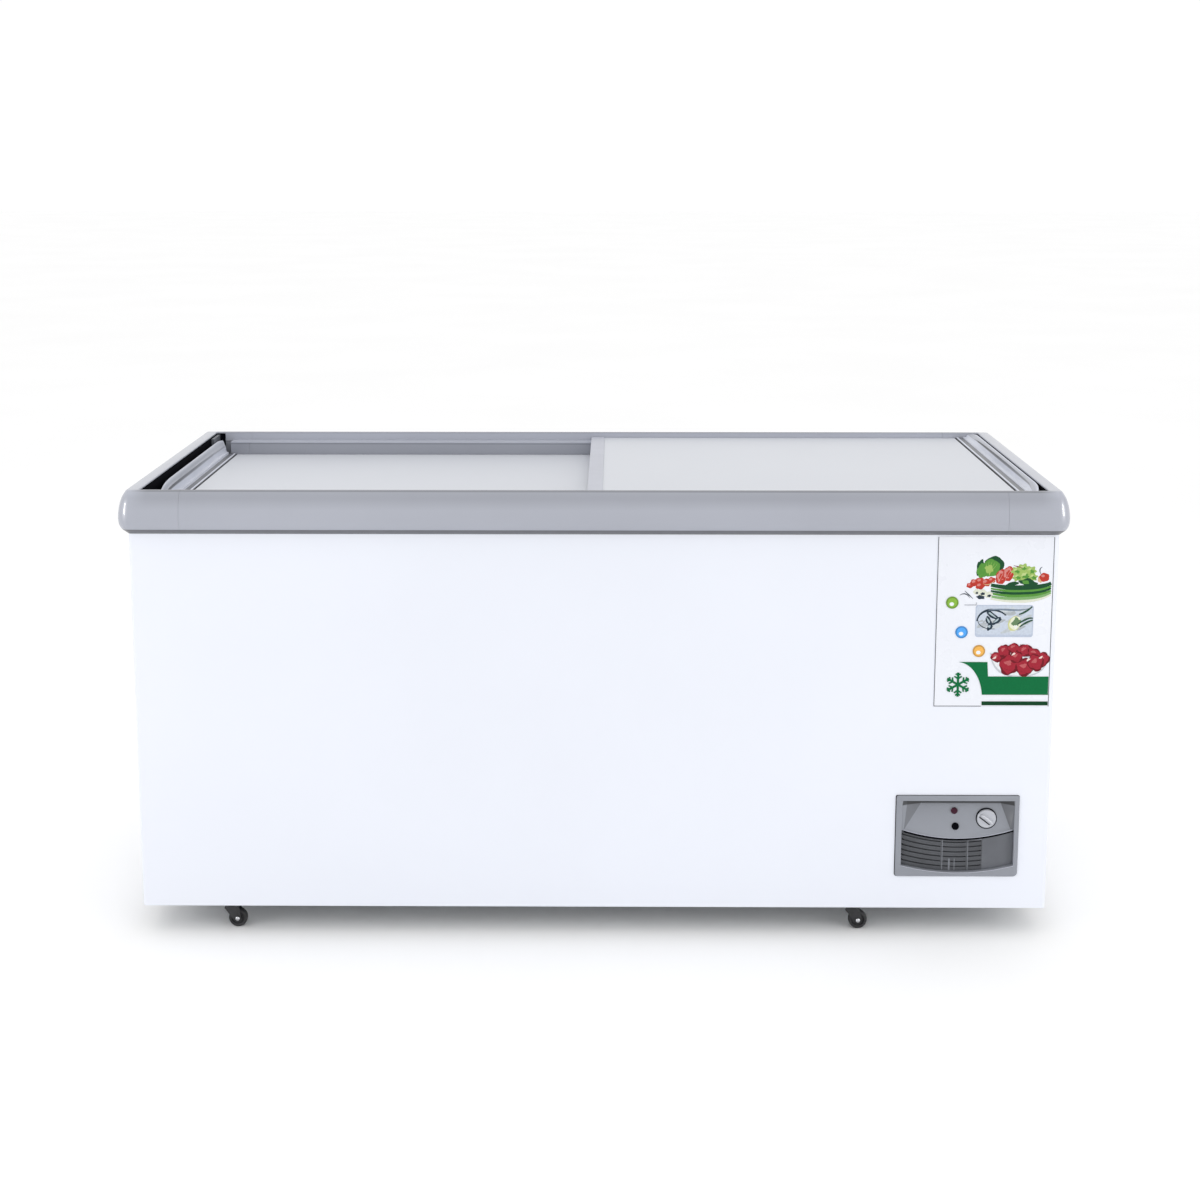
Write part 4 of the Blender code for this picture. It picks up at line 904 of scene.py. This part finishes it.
def make_button_and_lamp():
    low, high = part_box("push_button")
    radius = (high.x - low.x) / 2
    rims = ((0.0, 0.0010), (0.0004, 0.0003), (0.0012, 0.0), (0.0026, 0.0), (0.0032, 0.0008), (0.0050, 0.0012))
    profile = [(0.0045, high.y), (radius, high.y - 0.004)]
    profile += [(radius - inset, low.y + depth) for inset, depth in rims]
    piece("reset_button", turned(profile, BUTTON_AT, "y", 64), "black_plastic", "button", ["push_button"])
    low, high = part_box("indicator_lens")
    rim = (high.x - low.x) / 2
    turns = [math.radians(a) for a in range(0, 90, 12)]
    dome = [(rim * math.cos(turn), low.y + 0.0016 * (1 - math.sin(turn))) for turn in turns]
    profile = [(0.0058, high.y), (0.0058, low.y + 0.0018), (rim, low.y + 0.0018)] + dome + [(0.0004, low.y)]
    piece("power_lamp_lens", turned(profile, LAMP_AT, "y", 48), "red_lens", nodes=["indicator_lens"])


# --- decal ---
LEAF, DARK_LEAF, PALE_LEAF = (0.10, 0.30, 0.05), (0.012, 0.075, 0.028), (0.34, 0.50, 0.13)
TOMATO, DARK_RED, PINK = (0.50, 0.045, 0.03), (0.16, 0.010, 0.018), (0.66, 0.24, 0.22)
CREAM, ICE, SLATE = (0.72, 0.74, 0.62), (0.58, 0.64, 0.74), (0.028, 0.045, 0.065)
BAND_GREEN, DEEP_GREEN = (0.002, 0.150, 0.046), (0.002, 0.050, 0.016)


class Decal:
    """Printed shapes laid on the film in thin layers. u and v are millimetres from its lower left."""

    def __init__(self):
        self.low, self.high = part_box("front_decal")
        self.layer = 0
        self.bm = bmesh.new()
        self.ink = self.bm.loops.layers.float_color.new("tone")
        self.random = random.Random(7)

    def shape(self, points, colour):
        """One flat shape, a little in front of the last."""
        self.layer += 1
        front = self.low.y - 0.00004 - 0.0000045 * self.layer
        ends = []
        for y in (front, self.low.y + 0.0001):
            spots = [(self.low.x + u / 1000, y, self.low.z + v / 1000) for u, v in points]
            ends.append([self.bm.verts.new(spot) for spot in spots])
        faces = [self.bm.faces.new(ends[0]), self.bm.faces.new(ends[1][::-1])]
        for i in range(len(points)):
            j = (i + 1) % len(points)
            faces.append(self.bm.faces.new((ends[0][j], ends[0][i], ends[1][i], ends[1][j])))
        for face in faces:
            for corner in face.loops:
                corner[self.ink] = (*colour, 1.0)

    def blob(self, u, v, ru, rv, colour, lean=0.0, wobble=0.0, waves=5, steps=26):
        """An ellipse with an uneven edge."""
        start, points = self.random.uniform(0, math.tau), []
        cos, sin = math.cos(math.radians(lean)), math.sin(math.radians(lean))
        for k in range(steps):
            t = math.tau * k / steps
            swell = 1 + wobble * math.sin(waves * t + start) + 0.4 * wobble * math.sin((2 * waves + 1) * t)
            a, b = ru * swell * math.cos(t), rv * swell * math.sin(t)
            points.append((u + a * cos - b * sin, v + a * sin + b * cos))
        self.shape(points, colour)

    def stroke(self, line, width, colour, taper=0.0):
        """A band of this width along a line."""
        left, right = [], []
        for k, (u, v) in enumerate(line):
            before, after = line[max(k - 1, 0)], line[min(k + 1, len(line) - 1)]
            du, dv = after[0] - before[0], after[1] - before[1]
            size = math.hypot(du, dv)
            half = width / 2 * (1 - taper * abs(2 * k / (len(line) - 1) - 1))
            left.append((u - dv / size * half, v + du / size * half))
            right.append((u + dv / size * half, v - du / size * half))
        self.shape(left + right[::-1], colour)


def arc(a, b, c, d, steps=14):
    return [a] + bezier(a, b, c, d, steps)


def draw_border(art):
    width, height = (art.high.x - art.low.x) * 1000, (art.high.z - art.low.z) * 1000
    grey = (0.045, 0.050, 0.065)
    for line in ([(1.0, 0.6), (1.0, height - 0.6)], [(width - 1.0, 0.6), (width - 1.0, height - 0.6)],
                 [(0.6, 1.0), (96, 1.0)]):
        art.stroke(line, 1.3, grey)


def draw_greens(art):
    """A heap of vegetables across the top."""
    art.blob(113, 292, 20, 19, DARK_LEAF, 15, 0.04)
    art.blob(86, 286, 8, 18, DARK_LEAF, -6, 0.10)
    art.blob(90, 281, 11, 15, LEAF, -8, 0.10)
    art.blob(107, 287, 18, 18, LEAF, 12, 0.06)
    for lean in range(-50, 60, 22):
        a = math.radians(90 + lean)
        tip = (107 + 15 * math.cos(a), 285 + 15 * math.sin(a))
        art.stroke(arc((104, 270), (104, 278), (tip[0] - 3, tip[1] - 6), tip), 1.1, PALE_LEAF, 0.8)
    art.blob(103, 285, 8, 8, PALE_LEAF, 0, 0.18, 4)
    for u, v, r in ((66, 251, 7), (75, 257, 9), (86, 260, 9), (98, 257, 10), (109, 262, 8), (86, 250, 9)):
        art.blob(u, v, r, r * 0.78, TOMATO, 0, 0.10)
        art.blob(u - r * 0.25, v + r * 0.25, r * 0.42, r * 0.28, PINK, 20, 0.16)
        art.stroke([(u - r * 0.7, v - r * 0.5), (u + r * 0.6, v - r * 0.6)], 1.4, DARK_RED, 0.7)
    art.stroke(arc((92, 256), (98, 250), (106, 252), (116, 262)), 2.0, (0.62, 0.42, 0.22), 0.7)
    for u, v, r in ((128, 269, 12), (142, 275, 12)):
        art.blob(u, v, r * 0.92, r * 1.30, TOMATO, -14, 0.05)
        art.blob(u - 1.5, v + 2, r * 0.62, r * 0.92, PINK, -14, 0.12)
        art.blob(u, v, r * 0.36, r * 0.62, TOMATO, -14, 0.16)
        art.stroke([(u - r * 0.5, v - r), (u + r * 0.5, v + r)], 1.0, (0.80, 0.60, 0.52), 0.6)
    lettuce = ((158, 281, 10), (171, 286, 11), (186, 281, 11), (175, 271, 14), (191, 268, 9), (160, 268, 9))
    for u, v, r in lettuce:
        art.blob(u, v, r, r * 0.84, PALE_LEAF, 12, 0.20, 6)
        art.blob(u + 2, v - 1, r * 0.55, r * 0.36, LEAF, -20, 0.26, 5)
        art.blob(u - 2, v + 3, r * 0.40, r * 0.20, (0.52, 0.64, 0.26), 25, 0.20, 4)
    art.stroke([(152, 292), (160, 290), (170, 287)], 1.8, DARK_RED, 0.6)
    art.blob(206, 264, 5, 7, (0.66, 0.46, 0.26), 0, 0.10)
    art.blob(214, 268, 10, 9, TOMATO, 0, 0.06)
    art.blob(211, 271, 3.5, 2.6, PINK)
    art.stroke(arc((207, 274), (203, 281), (204, 287), (209, 289)), 1.9, SLATE, 0.5)
    draw_stalks(art)


def draw_stalks(art):
    """Long stalks, roots and mushrooms along the foot of the heap."""
    stalks = ((252, 256, DARK_LEAF, 12), (245, 250, LEAF, 6), (240, 246, DARK_LEAF, 7), (235, 241, LEAF, 7),
              (229, 237, (0.22, 0.42, 0.16), 8), (224, 233, CREAM, 6))
    for v, tip, colour, width in stalks:
        art.stroke(arc((108, v), (150, v - 9), (205, v - 8), (228, tip)), width, colour, 0.45)
    art.blob(182, 257, 17, 8, DARK_LEAF, -8, 0.18, 4)
    art.blob(177, 258, 7, 4, LEAF, -8, 0.14, 4)
    art.blob(150, 254, 14, 4, DARK_LEAF, 14, 0.10, 3)
    for u, v, r in ((80, 238, 7), (91, 236, 9), (104, 232, 8)):
        art.blob(u, v, r, r * 0.78, CREAM, 8, 0.08)
        art.blob(u + 1, v - 2, r * 0.50, r * 0.32, SLATE, 10, 0.16)
    art.blob(88, 227, 8, 4, SLATE, -6, 0.14)
    art.stroke(arc((46, 231), (54, 236), (60, 235), (66, 226)), 2.2, SLATE, 0.7)
    art.stroke(arc((56, 240), (62, 234), (66, 230), (73, 224)), 2.2, SLATE, 0.7)


def draw_fish(art):
    """Fish and lemon on a tray of ice."""
    art.shape(rounded(79, 195, 145, 211, [5] * 4, 4), (0.50, 0.56, 0.68))
    art.shape(rounded(81, 193, 150, 209, [5] * 4, 4), ICE)
    for _ in range(40):
        u, v = art.random.uniform(88, 186), art.random.uniform(156, 203)
        tone = art.random.uniform(0.46, 0.74)
        ru, rv = art.random.uniform(5, 11), art.random.uniform(2, 4)
        art.blob(u, v, ru, rv, (tone * 0.88, tone * 0.95, tone), 20, 0.2, 3, 11)
    art.stroke(arc((82, 178), (86, 204), (120, 208), (140, 190)), 5.0, SLATE, 0.5)
    art.stroke(arc((84, 180), (84, 168), (100, 160), (118, 162)), 2.0, SLATE, 0.6)
    art.stroke(arc((100, 200), (128, 206), (160, 196), (186, 204)), 4.0, (0.20, 0.25, 0.32), 0.6)
    fish = ((113, 190, 17, 5, -36), (106, 178, 11, 5, -62), (122, 178, 12, 4.5, 40), (108, 166, 5, 8, -20))
    for u, v, ru, rv, lean in fish:
        art.blob(u, v, ru, rv, SLATE, lean, 0.14, 3)
        art.blob(u - 1, v + 1, ru * 0.55, rv * 0.34, (0.44, 0.54, 0.58), lean, 0.16, 3)
    art.blob(157, 173, 12, 16, (0.62, 0.64, 0.30), -25, 0.03)
    art.blob(159, 174, 11, 14, (0.78, 0.80, 0.62), -25, 0.04)
    art.blob(161, 175, 8, 10, (0.14, 0.24, 0.12), -25, 0.20, 4)
    art.blob(160, 166, 4, 4, (0.82, 0.84, 0.78), 0, 0.20, 3)
    leaves = (((166, 192), (174, 194), (184, 200), (192, 208)),
              ((164, 172), (174, 178), (184, 186), (194, 184)),
              ((168, 166), (178, 174), (186, 178), (194, 180)))
    for leaf in leaves:
        art.stroke(arc(*leaf), 4.2, (0.035, 0.085, 0.055), 0.4)


def draw_meat(art):
    """Cuts of meat heaped on a white dish."""
    rim = arc((110, 112), (116, 74), (134, 62), (172, 62)) + arc((172, 62), (204, 62), (224, 74), (229, 101))
    dish = arc((112, 108), (120, 80), (136, 65), (172, 65)) + arc((172, 65), (202, 65), (220, 76), (227, 99))
    art.shape(rim, (0.56, 0.58, 0.62))
    art.shape(dish, (0.80, 0.82, 0.85))
    cuts = ((124, 103, 12, 10), (139, 116, 13, 13), (158, 122, 13, 10), (180, 117, 15, 13),
            (200, 111, 15, 10), (217, 98, 13, 16), (150, 88, 20, 22), (181, 82, 18, 19),
            (203, 92, 16, 18), (164, 103, 13, 12))
    for u, v, ru, rv in cuts:
        lean = art.random.uniform(-30, 30)
        art.blob(u, v, ru, rv, DARK_RED, lean, 0.08, 4)
        art.blob(u - 0.6, v + 1.0, ru * 0.86, rv * 0.82, (0.36, 0.022, 0.040), lean, 0.12, 4)
        art.blob(u - 2.5, v + 3.5, ru * 0.36, rv * 0.22, (0.50, 0.11, 0.12), lean + 20, 0.20, 3)
        art.stroke([(u - ru * 0.5, v - rv * 0.4), (u + ru * 0.3, v - rv * 0.6)], 1.2, DARK_RED, 0.7)
    for u, v in ((158, 110), (188, 98), (213, 103), (120, 102)):
        art.blob(u, v, 4.2, 1.9, (0.84, 0.66, 0.62), 34, 0.16, 3)
    for u, v in ((140, 128), (150, 130), (170, 130), (160, 127)):
        art.stroke([(u, v - 6), (u + 2, v)], 2.2, (0.32, 0.02, 0.035), 0.6)


def draw_band(art):
    """Green band with a hollow left side, a light stripe and a deep green foot."""
    edge = 230
    side = arc((49, 93), (74, 90), (94, 62), (97, 25), 20)
    art.shape(side + [(edge, 25), (edge, 63), (108, 63), (106, 93)], BAND_GREEN)
    art.shape([(97, 3), (edge, 3), (edge, 11), (97, 11)], DEEP_GREEN)


def draw_snowflake(art):
    """A plain six-armed frost star."""
    u, v, reach = 48, 46, 25
    for k in range(6):
        turn = math.radians(90 + 60 * k)
        along = (math.cos(turn), math.sin(turn))
        art.stroke([(u, v), (u + reach * along[0], v + reach * along[1])], 4.4, BAND_GREEN)
        for at, size in ((0.48, 9.0), (0.76, 6.0)):
            root = (u + reach * at * along[0], v + reach * at * along[1])
            for lean in (-55, 55):
                out = turn + math.radians(lean)
                tip = (root[0] + size * math.cos(out), root[1] + size * math.sin(out))
                art.stroke([root, tip], 3.0, BAND_GREEN)


def make_decal():
    art = Decal()
    draw_border(art)
    draw_greens(art)
    draw_fish(art)
    draw_meat(art)
    draw_band(art)
    draw_snowflake(art)
    badges = ((31.6, 215.9, (0.16, 0.30, 0.04)), (52, 154.9, (0.06, 0.25, 0.58)),
              (88, 116, (0.56, 0.30, 0.07)))
    for u, v, colour in badges:
        art.blob(u, v, 12.5, 12.5, colour)
        art.blob(u, v, 9.6, 9.6, shade(colour, 1.6))
        art.blob(u - 1, v - 3.0, 4.6, 3.8, (0.84, 0.88, 0.90))
    art.stroke([(56, 211), (80, 211), (80, 216)], 0.9, (0.34, 0.36, 0.40))
    piece("decal_print", art.bm, "decal_film", look=print_look())


# --- casters ---
def make_caster(corner):
    """Wheel with a rounded tread and recessed hub, and a fork with a drop-shaped cheek each side."""
    wheel_low, wheel_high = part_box(f"{corner}_caster_wheel")
    fork_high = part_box(f"{corner}_caster_fork")[1]
    plate_low, plate_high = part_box(f"{corner}_caster_plate")
    middle, radius = (wheel_low + wheel_high) / 2, (wheel_high.z - wheel_low.z) / 2
    hub, half, y = (middle.x, middle.z), (wheel_high.y - wheel_low.y) / 2, middle.y
    hollows = ((0.0033, 0.0016), (0.0062, 0.0016), (0.0070, 0.0034), (0.0118, 0.0034), (0.0126, 0.0008),
               (0.0134, 0.0), (0.0160, 0.0), (0.0178, 0.0006), (0.0188, 0.0020), (radius, 0.0044))
    tread = [(r, half - hollow) for r, hollow in hollows]
    profile = [(r, y - d) for r, d in tread] + [(r, y + d) for r, d in reversed(tread)]
    piece(f"{corner}_wheel_tread", turned(profile, hub, "y", 64, ring=True), "caster_tyre", f"{corner}_wheel",
          [f"{corner}_caster_wheel"], sharp=50)

    x, top = plate_low.x + (plate_high.x - plate_low.x) / 2, fork_high.z
    crown = [(x - 0.019, y)] + round_points(x + 0.010, y, 0.0155, range(-80, 81, 8))
    fork = prism(crown, "z", top - 0.0025, top)
    cheeks = []
    inside = half + 0.0015
    outer = inside + 0.0020
    for side in (-1, 1):
        outline = [(x - 0.0105, 0.0425), (x - 0.0085, top - 0.001), (x + 0.019, top - 0.001)]
        outline += round_points(*hub, 0.0080, range(0, 360, 12))
        cheeks.append(hull([(a, y + side * d, c) for a, c in outline for d in (inside, outer)]))
    bore = turned([(0.00325, y - 0.03), (0.00325, y + 0.03)], hub, "y", 32)
    piece(f"{corner}_fork_pressing", carved(fork, [bore], cheeks), "black_enamel", f"{corner}_fork",
          [f"{corner}_caster_fork"], bevel=0.0004)

    head = [(0.0001, outer + 0.0021), (0.0026, outer + 0.0019), (0.0040, outer + 0.0012)]
    head += [(0.0045, outer + 0.0003), (0.0030, outer + 0.0003)]
    profile = [(r, y - d) for r, d in head] + [(r, y + d) for r, d in reversed(head)]
    piece(f"{corner}_axle_rivet", turned(profile, hub, "y", 32), "caster_steel", f"{corner}_fork",
          [f"{corner}_caster_axle"])


# --- back ---
def screw(x, z, y, radius=0.0042):
    """A domed head with a cross recess, facing +Y."""
    turns = [math.radians(a) for a in range(0, 90, 15)]
    dome = [(radius * math.cos(turn), y + 0.0022 * math.sin(turn)) for turn in turns]
    head = turned([(radius, y - 0.0002)] + dome + [(0.0002, y + 0.0022)], (x, z), "y", 28)
    arm, wide, deep = radius * 0.55, radius * 0.13, y + 0.0011
    cross = [block((x - arm, deep, z - wide), (x + arm, y + 0.01, z + wide)),
             block((x - wide, deep, z - arm), (x + wide, y + 0.01, z + arm))]
    return carved(head, cross)


def make_screws():
    low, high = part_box("back_panel")
    y = high.y + 0.0002
    spots = [(x, z) for x in (low.x + 0.014, high.x - 0.014) for z in (0.09, 0.33, 0.57, 0.81)]
    spots += [(x, 0.072) for x in (-0.6, -0.2, 0.2)]
    piece("back_panel_screws", merged([screw(x, z, y) for x, z in spots]), "caster_steel")
    low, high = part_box("rear_vent_grille")
    corners = [(x, z) for x in (low.x + 0.006, high.x - 0.006) for z in (low.z + 0.006, high.z - 0.006)]
    screws = [screw(x, z, high.y + 0.0002, 0.0034) for x, z in corners]
    piece("vent_grille_screws", merged(screws), "caster_steel")


# --- studio ---
def make_floor():
    bm = bmesh.new()
    bmesh.ops.create_grid(bm, x_segments=1, y_segments=1, size=40)
    mesh = as_mesh("studio_floor", bm)
    floor = bpy.data.objects.new("studio_floor", mesh)
    bpy.context.collection.objects.link(floor)
    look = Look("studio_floor", (0.985, 0.985, 0.985), 0.90).tones(0.8, 0.008)
    mesh.materials.append(look.material)


def lamp(name, place, aim, size, power):
    """A rectangle of light at place, turned towards aim."""
    light = bpy.data.lights.new(name, "AREA")
    light.shape, light.size, light.size_y, light.energy = "RECTANGLE", size[0], size[1], power
    obj = bpy.data.objects.new(name, light)
    bpy.context.collection.objects.link(obj)
    obj.location = place
    obj.rotation_euler = (Vector(aim) - Vector(place)).to_track_quat("-Z", "Y").to_euler()
    return obj


def make_studio():
    make_floor()
    world = bpy.data.worlds.new("studio")
    bpy.context.scene.world = world
    world.use_nodes = True
    world.node_tree.nodes["Background"].inputs["Color"].default_value = (1.0, 1.0, 1.0, 1.0)
    world.node_tree.nodes["Background"].inputs["Strength"].default_value = 1.01
    bpy.context.scene.view_settings.view_transform = "Standard"
    lamp("overhead", (0, -0.2, 4.2), (0, 0, 0.5), (5.0, 4.0), 9)
    lamp("front", (0, -5.5, 2.0), (0, 0, 0.7), (3.0, 1.6), 2)
    for side in (-1, 1):
        corner, strip = (0.9 * side, -0.4, 0.9), (0.4, 0.9)
        lamp("strip", (3.0 * side, -1.8, 1.3), corner, strip, 8)
        # seen only in reflections: the small bright patches on the frame's front corners
        lamp("glint", (3.0 * side, -1.79, 1.3), corner, strip, 45).visible_diffuse = False


def make_camera():
    """Lens, height and tilt of the photograph."""
    data = bpy.data.cameras.new("camera")
    camera = bpy.data.objects.new("camera", data)
    bpy.context.collection.objects.link(camera)
    data.sensor_width = 36.0
    data.lens = 36.0 * 1903.2 / 1200
    data.shift_y = -0.12
    camera.location = (0.0419, -4.111, 1.6176)
    camera.rotation_euler = (math.pi / 2 - 0.1644, 0.0, 0.0076)
    bpy.context.scene.camera = camera


LOOKS = make_looks()
make_camera()
make_studio()
finish_nodes()
make_frame()
make_handles()
make_bezel()
make_window_edges()
make_grille()
make_knob()
make_button_and_lamp()
make_decal()
for corner in ("front_left", "front_right", "back_left", "back_right"):
    make_caster(corner)
make_screws()
